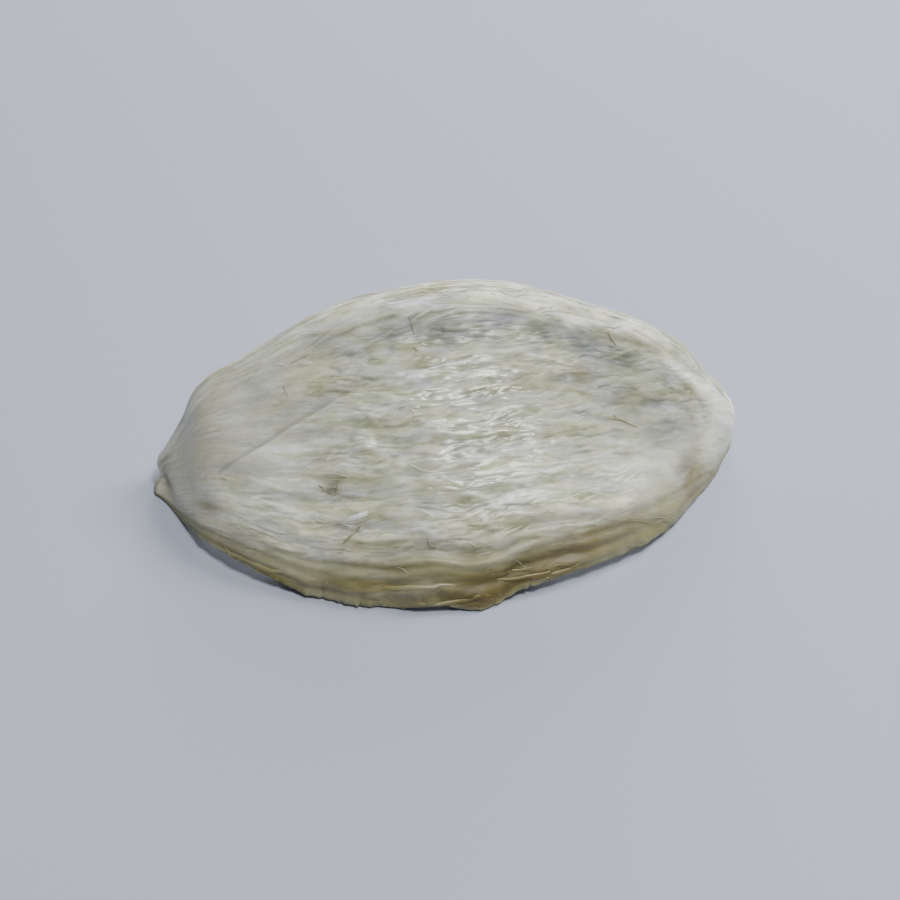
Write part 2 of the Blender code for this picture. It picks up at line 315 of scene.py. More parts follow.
def ledge(x, across):
    """Long crease from the left foot, with the strands below it standing proud."""
    below = through(CREASE_X, CREASE_ACROSS, x) + 0.006 * grain(x / 5.0, 0.0, 3) - across
    step = blend((below + 0.005) / 0.014) * (1.0 - blend((below - 0.02) / 0.25))
    window = blend((x + 47.0) / 3.0) * (1.0 - blend((x + 20.0) / 14.0))
    return CREASE_HIGH * step * window


def ropes(x, across):
    """Thick strands that run from foot to foot above the attached edge, and fine layers below."""
    window = blend((x - ROPE_ENDS[0]) / 8.0) * (1.0 - blend((x - ROPE_ENDS[1] + 12.0) / 12.0))
    total = np.zeros_like(across)
    for places, high, half in ROPES:
        total += high * bump(across - through(ROPE_X, places, x), half)
    layers = LAMINA_HIGH * np.sin(2 * np.pi * across / LAMINA_PITCH + 0.05 * x)
    return window * (total + layers * (1.0 - blend((across - 0.10) / 0.04)))


def foot_lobe(x, across):
    """Pale lobe on the right foot's end, set off from the rim by a groove."""
    groove = bump(x - 49.3 - 0.9 * np.sin(7.0 * across), 1.3) * blend((across - 0.30) / 0.10)
    lobe = blend((x - 50.0) / 2.0) * blend((across - 0.36) / 0.12)
    return 0.45 * lobe - 0.40 * groove


def rim(x, across):
    """Raised band along the lip and round the right foot, with a valley inside it."""
    window = 0.35 + 0.65 * blend((x - RIM_FROM[0]) / (RIM_FROM[1] - RIM_FROM[0]))
    band = RIM_HIGH * blend((across - RIM_START) / 0.06) - RIM_VALLEY * bump(across - 0.79, 0.05)
    foot = FOOT_RIM_HIGH * blend((x - through(BAND_ACROSS, BAND_X, across) + 0.6) / 2.6)
    return window * band + foot * (1.0 - blend((across - 0.7) / 0.15)) * blend(across / 0.2)


def sheets():
    """Edges of the overlapping dried layers: place, reach, line, slant, height, way they face."""
    chance = np.random.RandomState(41)
    found = []
    for _ in range(70):
        place = chance.uniform(-46.0, 47.0)
        reach = chance.uniform(5.0, 19.0)
        line = chance.uniform(-22.0, 30.0)
        slant = chance.uniform(-0.16, 0.16)
        high = chance.uniform(0.06, 0.20)
        way = 1.0 if chance.uniform() < 0.65 else -1.0
        found.append((place, reach, line, slant, high, way, int(chance.randint(1, 900))))
    return found


SHEETS = sheets()


def layers(x, flow):
    """Small steps where one dried layer ends on another."""
    total = np.zeros_like(flow)
    for place, reach, line, slant, high, way, seed in SHEETS:
        window = 1.0 - blend((abs(x - place) - 0.5 * reach) / (0.5 * reach))
        if window <= 0.0:
            continue
        wander = 0.9 * grain(x / 6.0, 0.5, seed) + 0.3 * grain(x / 1.5, 0.5, seed + 1)
        below = way * (line + slant * (x - place) + wander - flow)
        total += high * window * blend((below + 0.2) / 0.45) * np.exp(-np.clip(below, 0.0, 50.0) / 3.2)
    return total


def ground_outside(x, flow, across, thin_and_shade):
    """Broad unevenness under the strands outside."""
    warped = flow + 1.1 * grain(x / 13.0, flow / 8.0, 11)
    broad = grain(x / 12.0, warped / 3.0, 23)
    lumps = grain(x / 3.0, warped / 1.5, 24)
    pebbles = grain(x / 1.4, warped / 0.7, 26)
    soft = soft_share(x, across)
    knobs = grain(x / 2.6, flow / 2.4, 25) * blend((x - 20.0) / 12.0) * (1.0 - blend((across - 0.45) / 0.2))
    fine = 0.15 * lumps + 0.06 * pebbles + 1.0 * layers(x, flow)
    return 0.22 * broad + fine * (1.0 - 0.6 * np.minimum(soft, 1.3)) + 0.34 * knobs - 0.10 - 0.12 * thin_and_shade


def soft_share(x, across):
    """Where the dried layer is smooth and soft: the left shoulder and the low right part."""
    left = (1.0 - blend((x + 34.0) / 14.0)) * blend((across - 0.26) / 0.15)
    left = np.maximum(left, 1.05 * (1.0 - blend((x + 46.0) / 9.0)))
    right = blend((x - 22.0) / 14.0) * (1.0 - blend((across - 0.40) / 0.2)) * blend((across - 0.06) / 0.08)
    right = np.maximum(right, 0.75 * blend((x - 46.0) / 7.0))
    belt = 0.85 * (1.0 - blend((across - 0.09) / 0.09))
    return np.maximum(np.maximum(left, right), belt)


def scatter(seed, count, bundle, box, spread, reach, slopes, widths, highs, levels, tones):
    """Strands in small bundles: place, line, reach, slope, half width, height, level, tone, chance."""
    chance = np.random.RandomState(seed)
    bundles = -(-count // bundle)
    place, line = (np.repeat(chance.uniform(low, high, bundles), bundle) for low, high in box)
    slope = np.repeat(chance.uniform(-1.0, 1.0, bundles) ** 3 * slopes[0], bundle)
    tone = np.repeat(chance.uniform(*tones, bundles), bundle)
    level = np.repeat(chance.uniform(*levels, bundles), bundle)
    total = len(place)
    place = place + chance.uniform(-1.0, 1.0, total) * spread[0]
    line = line + chance.uniform(-1.0, 1.0, total) * spread[1]
    slope = slope + chance.uniform(-1.0, 1.0, total) ** 3 * slopes[1]
    tone = np.clip(tone + chance.uniform(-0.25, 0.25, total), 0.0, 1.0)
    level = level + chance.uniform(-0.05, 0.05, total)
    return np.stack([place, line, chance.uniform(*reach, total), slope, chance.uniform(*widths, total),
                     chance.uniform(*highs, total), level, tone, chance.uniform(0.0, 100.0, total)], -1)


def weave(rows, lines, thin_and_shade, strands, sway, pitch, spare):
    """Lays strands over each other on a chart and returns how high and how pale the top ones are."""
    low = lines.min()
    marks = np.arange(low, lines.max() + 0.2, 0.1)
    table = np.array([np.searchsorted(row, marks) for row in lines])
    height = np.zeros_like(lines)
    tone = np.full_like(lines, 0.35)
    for place, line, reach, slope, width, high, level, pale, chance in strands:
        first, last = np.searchsorted(rows, (place - reach / 2, place + reach / 2))
        if last - first < 3:
            continue
        x = rows[first:last]
        run = (x - place) / (reach / 2)
        middle = line + slope * (x - place) + sway * grain(x / pitch + chance, chance * 1.7, 5)
        half = width * (0.35 + 0.65 * np.sqrt(1.0 - run * run)) * math.sqrt(1.0 + slope * slope)
        index = np.arange(first, last)
        ends = []
        for side in (-1, 1):
            mark = ((middle + side * half - low) / 0.1).astype(int)
            ends.append(table[index, np.clip(mark + (side > 0), 0, len(marks) - 1)])
        start, stop = int(ends[0].min()), int(ends[1].max())
        if stop - start < 1:
            continue
        body = (1.0 - run**4)[:, None]
        apart = (lines[first:last, start:stop] - middle[:, None]) / half[:, None]
        dome = 1.0 - apart * apart
        worn = 1.0
        if chance % 1.0 > spare:
            worn = 1.0 - 0.3 * thin_and_shade[first:last, start:stop]
            dome = dome - 0.3 * (1.0 - worn)
        inside = dome > 0.0
        arch = high * np.sqrt(np.maximum(dome, 0.0)) * (0.25 + 0.75 * body)
        top = (level * body + arch) * worn - 0.12 * (1.0 - body)
        here = height[first:last, start:stop]
        win = inside & (top > here)
        here[win] = top[win]
        tone[first:last, start:stop][win] = pale
    return height, tone


def flow_line(x, across, outline):
    """Which strand line a point outside is on: level in the middle, a fan at the left foot."""
    level = outline[:, 1] * math.cos(FLOW_TILT) + outline[:, 0] * math.sin(FLOW_TILT)
    fan = FLOW_LOW + 2.0 + across * 56.0
    share = 0.5 * blend((-8.0 - x) / 40.0)
    line = fan * share + level * (1.0 - share)
    line = line + 0.38 * grain(x / 3.6, line / 1.7, 98) + 0.14 * grain(x / 1.5, line / 0.9, 99)
    return np.maximum.accumulate(line) + 0.004 * np.arange(len(line))


def thin_patches_and_valley_shade(x, across, flow):
    """Patches where the dried layers are few and the wall is thinner, with painted shade along the valley under the lip
    band: 0 none, 1 full.
    """
    bent = flow + 0.9 * grain(x / 6.0, flow / 5.0, 83)
    patch = 0.8 * grain(x / 7.5, bent / 1.9, 81) + 0.6 * grain(x / 3.6, bent / 0.75, 82)
    patch += 0.25 * grain(x / 1.3, bent / 0.5, 84)
    zone = blend((x + 27.0) / 12.0) * (1.0 - blend((x - 36.0) / 12.0))
    zone = zone * blend((across - 0.24) / 0.16) * (1.0 - blend((across - 0.87) / 0.05))
    wander = 0.012 * grain(x / 2.2, 0.7, 85)
    # Painted shade: a dark strip along the valley under the lip band.
    valley = bump(across - through(VALLEY_SHADE_X, VALLEY_SHADE_ACROSS, x) - wander, 0.040)
    valley = valley * blend((x + 26.0) / 12.0) * (1.0 - blend((x - 45.0) / 2.5))
    open_patch = 0.75 * blend((patch - 0.30 + 0.30 * valley) / 0.75) * np.maximum(zone, valley)
    return np.clip(0.8 * open_patch + 0.5 * valley * (1.0 - 0.5 * blend((x - 34.0) / 8.0)), 0.0, 1.0)


def relief(x, across, width):
    """Everything that stands out of or sinks into the outside at one station."""
    total = ledge(x, across) + ropes(x, across)
    rough = np.zeros_like(across)
    for along, over, phase, high in WAVES:
        total += high * np.sin(2 * np.pi * (along * x + over * across) + phase)
    ends = blend((x - STATION[0]) / FOOT_SMOOTH) * blend((STATION[-1] - x) / FOOT_SMOOTH)
    tips = blend((x - STATION[0]) / TIP_SMOOTH) * blend((STATION[-1] - x) / TIP_SMOOTH)
    for place, over, high, radius in LUMPS + FOOT_LUMPS:
        rough += high * bump(np.hypot(x - place, (across - over) * width), radius)
    crumbs = np.abs(grain(x / 1.1, across * 9.0, 91)) + 0.8 * np.abs(grain(x / 0.55, across * 14.0, 92))
    crumbs = 0.55 * crumbs * (1.0 - blend((across - 0.01) / 0.05)) * (1.0 - 0.6 * blend((x - 8.0) / 12.0))
    knots = np.clip(grain(x / 2.3, across * 7.0, 93) - 0.25, 0.0, 1.0) + 0.4 * grain(x / 1.2, across * 9.0, 94)
    knots = 0.5 * knots * blend((across - 0.93) / 0.06) * (1.0 - blend((x + 12.0) / 16.0))
    return 0.7 * total * ends + (rough + crumbs + knots + rim(x, across)) * tips + foot_lobe(x, across)


def crest_light_gap_shade(tone, height):
    """Painted light and shade: makes crests paler and the gaps between strands greyer, partly as a wall of few layers
    shows them and partly as painted shade in the gaps and painted light on the crests.
    """
    level = height
    for reach in (1, 2, 4):
        sides = np.roll(level, reach, 1) + np.roll(level, -reach, 1)
        ends = np.roll(level, 1, 0) + np.roll(level, -1, 0)
        level = (2.0 * level + sides + ends) / 6.0
    return np.clip(0.5 + 0.42 * (tone - 0.5) + 2.2 * (height - level), 0.0, 1.0)


def inner_relief(x, across):
    """Unevenness of the hollow's wall."""
    total = np.zeros_like(across)
    for along, over, phase, high in WAVES:
        total += 0.8 * high * np.sin(2 * np.pi * (along * x - over * across) + phase + 1.3)
    total += 0.16 * grain(x / 6.0, across * 60.0 / 4.0, 33)
    return total * blend(across / 0.15) * blend((1.0 - across) / 0.15)


def offset(line, at, side, half):
    """Points beside the middle line, out (side 1) or in (side -1)."""
    points, along, reach = line
    y = np.interp(at, reach, points[:, 0])
    z = np.interp(at, reach, points[:, 1])
    turn = blend(at / FLARE)
    out_y = -np.interp(at, reach, along[:, 1]) * turn - (1.0 - turn)
    out_z = np.interp(at, reach, along[:, 0]) * turn
    size = np.hypot(out_y, out_z)
    return np.stack([y + side * out_y * half / size, z + side * out_z * half / size], -1)


def station(x):
    """Wall at one station before the strands are laid: lines, distances and thicknesses."""
    line = middle_line(x)
    width = line[2][-1]
    lip = float(through(STATION, LIP_HALF, x))
    spread = through((0.0, 0.4, 0.82, 1.0), (0.0, 0.36, 0.82, 1.0), np.linspace(0, 1, SKIN_OUTER))
    outer_at = spread * (width - lip)
    inner_at = np.linspace(width - lip, 0.0, SKIN_INNER)
    across = outer_at / width
    outer_half = half_thickness(x, outer_at, width) + relief(x, across, width)
    inner_half = half_thickness(x, inner_at, width) + inner_relief(x, inner_at / width)
    flow = flow_line(x, across, offset(line, outer_at, 1, outer_half))
    thin_and_shade = thin_patches_and_valley_shade(x, across, flow)
    ground = ground_outside(x, flow, across, thin_and_shade)
    turn = np.linspace(0.0, np.pi, 2 * SKIN_LIP + 1)[1:-1]
    share = np.linspace(0.0, 1.0, SKIN_EDGE)[1:-1]
    reach_in = np.pi * lip + (width - lip - inner_at)
    round_line = np.concatenate([outer_at - (width - lip), turn * lip, reach_in, reach_in[-1] + 6.0 * share])
    return dict(x=x, line=line, width=width, lip=lip, outer_at=outer_at, inner_at=inner_at, across=across,
                outer_half=outer_half, inner_half=inner_half, flow=flow, thin_and_shade=thin_and_shade, ground=ground, turn=turn,
                share=share, round_line=round_line)


def section(wall, outside, inside, tone):
    """Closed outline of the wall at one station: outside, lip, inside, attached edge."""
    x, line, width, lip, turn, share = (wall[k] for k in ("x", "line", "width", "lip", "turn", "share"))
    tips = (0.1 + 0.9 * blend((x - STATION[0]) / 4.0) * blend((STATION[-1] - x) / 4.0)) * min(1.0, width / 16.0)
    over_lip, on_inner, on_under = np.split(inside[SKIN_OUTER:], [len(turn), len(turn) + SKIN_INNER])
    to_rim = blend((wall["across"] - 0.80) / 0.06)
    fine = (wall["ground"] + outside) * (1.0 - to_rim) + inside[:SKIN_OUTER] * to_rim
    outer_half = wall["outer_half"] + fine * tips
    inner_half = wall["inner_half"] + on_inner * tips
    outer = offset(line, wall["outer_at"], 1, outer_half)
    inner = offset(line, wall["inner_at"], -1, inner_half)
    mixed = (1.0 - np.cos(turn)) / 2
    bare = wall["outer_half"][-1] + fine[-1] * tips * np.cos(turn) ** 2
    bare = bare * (1.0 - mixed) + (wall["inner_half"][0] + on_inner[0] * tips * np.cos(turn) ** 2) * mixed
    lip_half = (bare + over_lip * tips * np.sin(turn) ** 2) * np.cos(turn)
    ragged = 0.22 * grain(x / 2.1, 0.3, 95) + 0.16 * grain(x / 0.9, 0.6, 96)
    ragged += 0.9 * max(0.0, float(grain(x / 1.7, 0.2, 97)) - 0.62) * (1.0 - blend((x + 6.0) / 20.0))
    nub = 0.9 * bump(x + 51.8, 1.1) + 1.7 * bump(x - 54.0, 1.5) - 0.7 * bump(x - 51.2, 1.1)
    lip_at = width - lip + (lip + (over_lip + ragged) * tips + nub) * np.sin(turn)
    over = offset(line, np.minimum(lip_at, width), 1, lip_half)
    over += line[1][-1] * np.maximum(lip_at - width, 0.0)[:, None]
    under = inner[-1] + (outer[0] - inner[-1]) * share[:, None]
    gap = float(through(STATION, EDGE_GAP, x))
    under[:, 1] += (0.5 - on_under) * min(1.0, gap / 0.8) * np.sin(np.pi * share)
    outline = np.vstack([outer, over, inner, under])
    chart = OUTER_SHARE * (wall["flow"] - FLOW_LOW) / (FLOW_HIGH - FLOW_LOW)
    ahead = [np.ones(len(turn)), wall["inner_at"] / width, np.zeros(len(share))]
    across = np.concatenate([wall["across"]] + ahead)
    side = np.concatenate([np.ones(SKIN_OUTER), np.cos(turn), -np.ones(SKIN_INNER), 2 * share - 1])
    thin_and_shade = np.concatenate([wall["thin_and_shade"], np.zeros(len(outline) - SKIN_OUTER)])
    before = np.concatenate([chart, np.linspace(OUTER_SHARE, LIP_SHARE, len(turn) + 1)[:-1],
                             np.linspace(LIP_SHARE, INNER_SHARE, SKIN_INNER),
                             np.linspace(INNER_SHARE, 1.0, len(share) + 1)[:-1]])
    after = np.append(before[1:], 1.0)
    after[len(chart) - 1] = chart[-1]
    return outline, np.stack([across, side, thin_and_shade, before, after, tone], -1)


def rows_along(count):
    """Places of the rows along the nest, closer together towards the feet."""
    share = np.linspace(0.0, 1.0, count)
    eased = 0.25 * (0.5 - 0.5 * np.cos(np.pi * share)) + 0.75 * share
    return STATION[0] + (STATION[-1] - STATION[0]) * eased


END_RINGS = 5


def end_rings(row, direction):
    """Rounded end of a foot: rings that shrink towards a point."""
    centre = row.mean(axis=0)
    rings = []
    for scale, reach in ((0.93, 0.22), (0.80, 0.55), (0.63, 0.78), (0.45, 0.95), (0.2, 1.06)):
        ring = centre + (row - centre) * scale
        ring[:, 0] = row[0, 0] + direction * reach
        rings.append(ring)
    tip = centre.copy()
    tip[0] = row[0, 0] + direction * 1.1
    return rings, tip


def cut_notch(points):
    """Pushes in the left foot's end between its tip and the nub above it, and the right nub out."""
    start = STATION[0] + NOTCH_REACH
    near = blend((start - points[:, 0]) / NOTCH_REACH)
    points[:, 0] += NOTCH_DEEP * bump(points[:, 2] - NOTCH_HEIGHT, NOTCH_HALF) * near
    points[:, 0] -= TOE_REACH * bump(points[:, 2] - 0.9, 1.1) * near
    near = blend((points[:, 0] - STATION[-1] + NOTCH_REACH) / NOTCH_REACH)
    points[:, 0] += NUB_REACH * bump(points[:, 2] - NUB_HEIGHT, NUB_HALF) * near


def make_skin():
    """The whole shell as one closed fine mesh, with a map along and round it, and its tints."""
    rows = rows_along(SKIN_ROWS)
    walls = [station(x) for x in rows]
    flow = np.array([wall["flow"] for wall in walls])
    thin_and_shade = np.array([wall["thin_and_shade"] for wall in walls])
    box = ((-56.0, 56.0), (FLOW_LOW, FLOW_HIGH))
    strands = np.vstack([
        scatter(3, 1500, 5, box, (5.0, 1.4), (5.0, 13.0), (0.16, 0.08), (0.35, 0.95), (0.12, 0.28), (-0.14, 0.10), (0.1, 0.8)),
        scatter(4, 4200, 3, box, (3.0, 1.2), (2.0, 6.5), (0.26, 0.14), (0.20, 0.40), (0.07, 0.18), (-0.06, 0.14), (0.1, 0.9)),
        scatter(8, 3400, 2, box, (2.0, 0.9), (1.5, 4.5), (0.40, 0.25), (0.12, 0.20), (0.04, 0.09), (0.02, 0.18), (0.3, 1.0)),
    ])
    high_out, tone_out = weave(rows, flow, thin_and_shade, strands, 0.4, 7.0, 0.25)
    soft = np.array([soft_share(wall["x"], wall["across"]) for wall in walls])
    along = rows[:, None] + 0.0 * flow
    patches = 0.6 * grain(along / 2.6, flow / 1.3, 61) + 0.5 * grain(along / 1.1, flow / 0.55, 62)
    patches = np.clip(patches - 0.02, 0.0, 1.0) * (1.0 - 0.6 * np.minimum(soft, 1.5))
    round_line = np.array([wall["round_line"] for wall in walls])
    closed = np.zeros_like(round_line)
    rim_box = ((-56.0, 56.0), (-15.0, 10.0))
    in_box = ((-56.0, 56.0), (6.0, 84.0))
    strands = np.vstack([
        scatter(5, 1500, 6, rim_box, (6.0, 1.2), (7.0, 20.0), (0.22, 0.08), (0.24, 0.5), (0.10, 0.20), (-0.05, 0.12), (0.4, 1.0)),
        scatter(6, 2600, 4, in_box, (4.0, 1.6), (6.0, 18.0), (1.1, 0.35), (0.3, 0.6), (0.16, 0.32), (-0.1, 0.25), (0.1, 0.9)),
    ])
    high_in, tone_in = weave(rows, round_line, closed, strands, 0.6, 7.0, 1.0)
    tone_out = crest_light_gap_shade(tone_out, high_out)
    tone_out = tone_out + (0.55 - tone_out) * np.minimum(0.75 * soft, 1.0)
    tone_out = np.clip(tone_out - 0.34 * patches, 0.0, 1.0)
    tone_in = crest_light_gap_shade(tone_in, high_in)
    high_out = (high_out - high_out.mean()) * (1.0 - 0.55 * np.minimum(soft, 1.4))
    feet = np.maximum(1.0 - blend((rows + 54.5) / 9.0), blend((rows - 46.5) / 8.0))[:, None]
    high_in = (high_in - high_in.mean()) * (1.0 - 0.75 * feet)
    tone_in = tone_in + (0.55 - tone_in) * 0.8 * feet
    rings = []
    facts = []
    for wall, outside, inside, tone, pale in zip(walls, high_out, high_in, tone_in, tone_out):
        to_rim = blend((wall["across"] - 0.80) / 0.06)
        tone[:SKIN_OUTER] = pale * (1.0 - to_rim) + tone[:SKIN_OUTER] * to_rim
        outline, fact = section(wall, outside, inside, tone)
        rings.append(np.column_stack([np.full(len(outline), wall["x"]), outline]))
        facts.append(np.column_stack([np.full(len(outline), wall["x"]), fact]))
    left, left_tip = end_rings(rings[0], -1)
    right, right_tip = end_rings(rings[-1], 1)
    facts = [facts[0]] * len(left) + facts + [facts[-1]] * len(right)
    rings = left[::-1] + rings + right
    rows = len(rings)
    count = len(rings[0])
    points = np.vstack(rings + [left_tip[None], right_tip[None]])
    cut_notch(points)
    points = (points - np.array(ORIGIN)) * MM
    points[:, 2] = np.maximum(points[:, 2], 0.0)
    grid = np.arange(rows * count).reshape(rows, count)
    turned = np.roll(grid, -1, axis=1)
    quads = np.stack([grid[:-1], grid[1:], turned[1:], turned[:-1]], -1).reshape(-1, 4)
    tips = np.array([rows * count, rows * count + 1])
    first = np.stack([np.full(count, tips[0]), grid[0], turned[0]], -1)
    last = np.stack([np.full(count, tips[1]), turned[-1], grid[-1]], -1)
    fact = np.array(facts)
    reach = points[:rows * count, 0].reshape(rows, count).mean(axis=1)
    reach = (reach - points[tips[0], 0]) / (points[tips[1], 0] - points[tips[0], 0])
    reach = np.repeat(reach[:, None], count, axis=1)
    here = np.stack([reach, fact[:, :, 4]], -1)
    beyond = np.stack([reach, fact[:, :, 5]], -1)
    quad_map = np.stack([here[:-1], here[1:], beyond[1:], beyond[:-1]], 2).reshape(-1, 2)
    first_map = np.stack([here[0] * [0, 1], here[0], beyond[0]], 1).reshape(-1, 2)
    last_map = np.stack([here[-1] * [0, 1] + [1, 0], beyond[-1], here[-1]], 1).reshape(-1, 2)
    mesh = bpy.data.meshes.new("nest_skin")
    mesh.from_pydata(points.tolist(), [], quads.tolist() + first.tolist() + last.tolist())
    layer = mesh.uv_layers.new(name="strand_map")
    layer.data.foreach_set("uv", np.vstack([quad_map, first_map, last_map]).ravel())
    flat = fact.reshape(rows * count, -1)
    paint_skin(mesh, np.vstack([flat, flat[:1], flat[-1:]]))
    mesh.shade_smooth()
    skin = bpy.data.objects.new("nest_skin", mesh)
    bpy.context.scene.collection.objects.link(skin)
    return skin, points[:rows * count].reshape(rows, count, 3), fact


def paint_skin(mesh, facts):
    """Tints kept on the skin as one vector: amber stains and painted shade at the pale bands' border, the thick yellow
    edge and painted olive shade in pits and dips, thinner patches and painted grey shade; the tone keeps painted light
    on the lip band and on brighter parts.
    """
    x, across, side, thin_and_shade = facts[:, :4].T
    outside = blend(side * 2.0)
    amber = np.zeros(len(x))
    for place, over, reach, spread, strength in AMBER:
        amber += strength * bump((x - place) / reach, 1.0) * bump((across - over) / spread, 1.0)
    streak = 0.85 + 0.40 * grain(x / 6.0, across * 62.0 / 0.9, 71) + 0.30 * grain(x / 2.5, across * 30.0, 72)
    amber = np.clip(amber * streak, 0.0, 1.0) * outside
    under = 1.0 - blend(across / 0.03)
    amber = np.maximum(amber, 0.35 * under * (0.5 + 0.5 * grain(x / 6.0, side * 3.0, 73)))
    drift = 0.03 * grain(x / 7.0, 0.1, 76) + 0.02 * grain(x / 2.5, across * 20.0, 77)
    fade = 0.29 - 0.07 * blend((x - 4.0) / 14.0) - 0.09 * (1.0 - blend((x + 36.0) / 22.0))
    edge = 1.0 - blend((across - 0.045 + drift) / fade)
    edge = edge * (0.88 + 0.25 * grain(x / 9.0, across * 62.0 / 1.3, 78))
    # Painted shade along the crease and in a strip above it.
    crease = through(CREASE_X, CREASE_ACROSS, x) + 0.006 * grain(x / 5.0, 0.0 * x, 3)
    window = blend((x + 45.5) / 3.0) * (1.0 - blend((x + 24.0) / 12.0))
    thin_and_shade = np.maximum(thin_and_shade, 0.44 * window * bump(across - crease - 0.010, 0.016))
    thin_and_shade = np.maximum(thin_and_shade, 0.20 * window * blend((across - crease) / 0.02) * (1.0 - blend((across - crease) / 0.12)))
    # Painted shade from the shade table, mottled by cloud; it joins the grey channel.
    cloud = 0.85 + 0.28 * grain(x / 5.0, across * 62.0 / 2.2, 74) + 0.28 * grain(x / 2.0, across * 62.0 / 0.9, 75)
    for place, over, reach, spread, strength in PAINTED_SHADE:
        thin_and_shade = np.maximum(thin_and_shade, np.clip(strength * cloud, 0.0, 1.0) * bump(x - place, reach) * bump(across - over, spread))
    # Less grey on the band round the right foot, which takes painted light below.
    band = blend((x - through(BAND_ACROSS, BAND_X, across) + 0.3) / 1.6) * (1.0 - blend((across - 0.78) / 0.06))
    thin_and_shade = thin_and_shade * (1.0 - 0.9 * band)
    tone = np.array(facts[:, 6])
    # Painted light, and a few pale spots: the tone is raised at the pale parts.
    for place, over, reach, spread, strength in PALE:
        tone += strength * bump(x - place, reach) * bump(across - over, spread)
    # Painted light: paler along the lip band and round the right foot, with less grey there.
    sway = drift + 0.016 * grain(x / 3.5, across * 6.0, 81)
    pale = blend((across - through(BAND_AT, BAND_FROM, x) + 0.018 + sway) / 0.055)
    wander = 1.8 * grain(x / 5.0, across * 9.0, 79) - 0.2
    round_foot = blend((x - through(BAND_ACROSS, BAND_X, across) + wander) / 4.2) * blend((across - 0.2) / 0.25)
    pale = np.maximum(pale, round_foot) * (0.82 + 0.36 * grain(x / 4.0, across * 22.0, 80))
    tone = tone + through(BAND_AT, BAND_LIGHT, x) * pale * outside
    thin_and_shade = thin_and_shade * np.clip(1.0 - 0.7 * pale, 0.0, 1.0)
    tone = np.clip(tone, 0.0, 1.0)
    # Painted olive shade in the pit, the dips and on the left foot, with a stained cluster: more yellow and a little
    # greyer.
    for place, over, reach, spread, strength in OLIVE:
        mark = strength * bump(x - place, reach) * bump(across - over, spread)
        thin_and_shade = np.maximum(thin_and_shade, 0.25 * mark)
        edge = np.maximum(edge, mark)
    stain_and_shade = np.stack([amber, edge, thin_and_shade * outside], -1).astype(np.float32)
    mesh.attributes.new("stain_and_shade", "FLOAT_VECTOR", "POINT").data.foreach_set("vector", stain_and_shade.ravel())
    mesh.attributes.new("tone", "FLOAT", "POINT").data.foreach_set("value", tone.astype(np.float32))
    smooth = (np.clip(soft_share(x, across), 0.0, 1.0) * outside).astype(np.float32)
    mesh.attributes.new("smooth", "FLOAT", "POINT").data.foreach_set("value", smooth)


def feed(tree, socket, value):
    """Puts a plain value or another node's output into an input."""
    if isinstance(value, bpy.types.NodeSocket):
        tree.links.new(value, socket)
    elif isinstance(value, tuple) and len(value) == 3 and socket.type == "RGBA":
        socket.default_value = (*value, 1.0)
    else:
        socket.default_value = value


def add(tree, kind, feeds=(), **settings):
    """A node with its settings made and its inputs fed."""
    made = tree.nodes.new(kind)
    for name, value in settings.items():
        setattr(made, name, value)
    for name, value in dict(feeds).items():
        feed(tree, made.inputs[name], value)
    return made


def calc(tree, kind, *values):
    return add(tree, "ShaderNodeMath", dict(enumerate(values)), operation=kind).outputs[0]


def ramp(tree, source, stops):
    """Colour ramp between stops of (place, colour)."""
    made = add(tree, "ShaderNodeValToRGB", {"Fac": source})
    marks = made.color_ramp.elements
    while len(marks) < len(stops):
        marks.new(0.5)
    for mark, (place, colour) in zip(marks, stops):
        mark.position = place
        mark.color = (*colour, 1.0)
    return made.outputs["Color"]


def mix(tree, kind, amount, first, second):
    """Mixes two colours."""
    made = add(tree, "ShaderNodeMix", {}, data_type="RGBA", blend_type=kind)
    for place, value in ((0, amount), (6, first), (7, second)):
        feed(tree, made.inputs[place], value)
    return made.outputs[2]


def stretched_noise(tree, chart, scale, detail=3.0, rough=0.6):
    """Noise over a chart, with its own scale each way."""
    grown = add(tree, "ShaderNodeMapping", {"Vector": chart, "Scale": scale}).outputs["Vector"]
    noise = add(tree, "ShaderNodeTexNoise", {"Vector": grown, "Scale": 1.0, "Detail": detail, "Roughness": rough})
    return noise.outputs["Fac"]


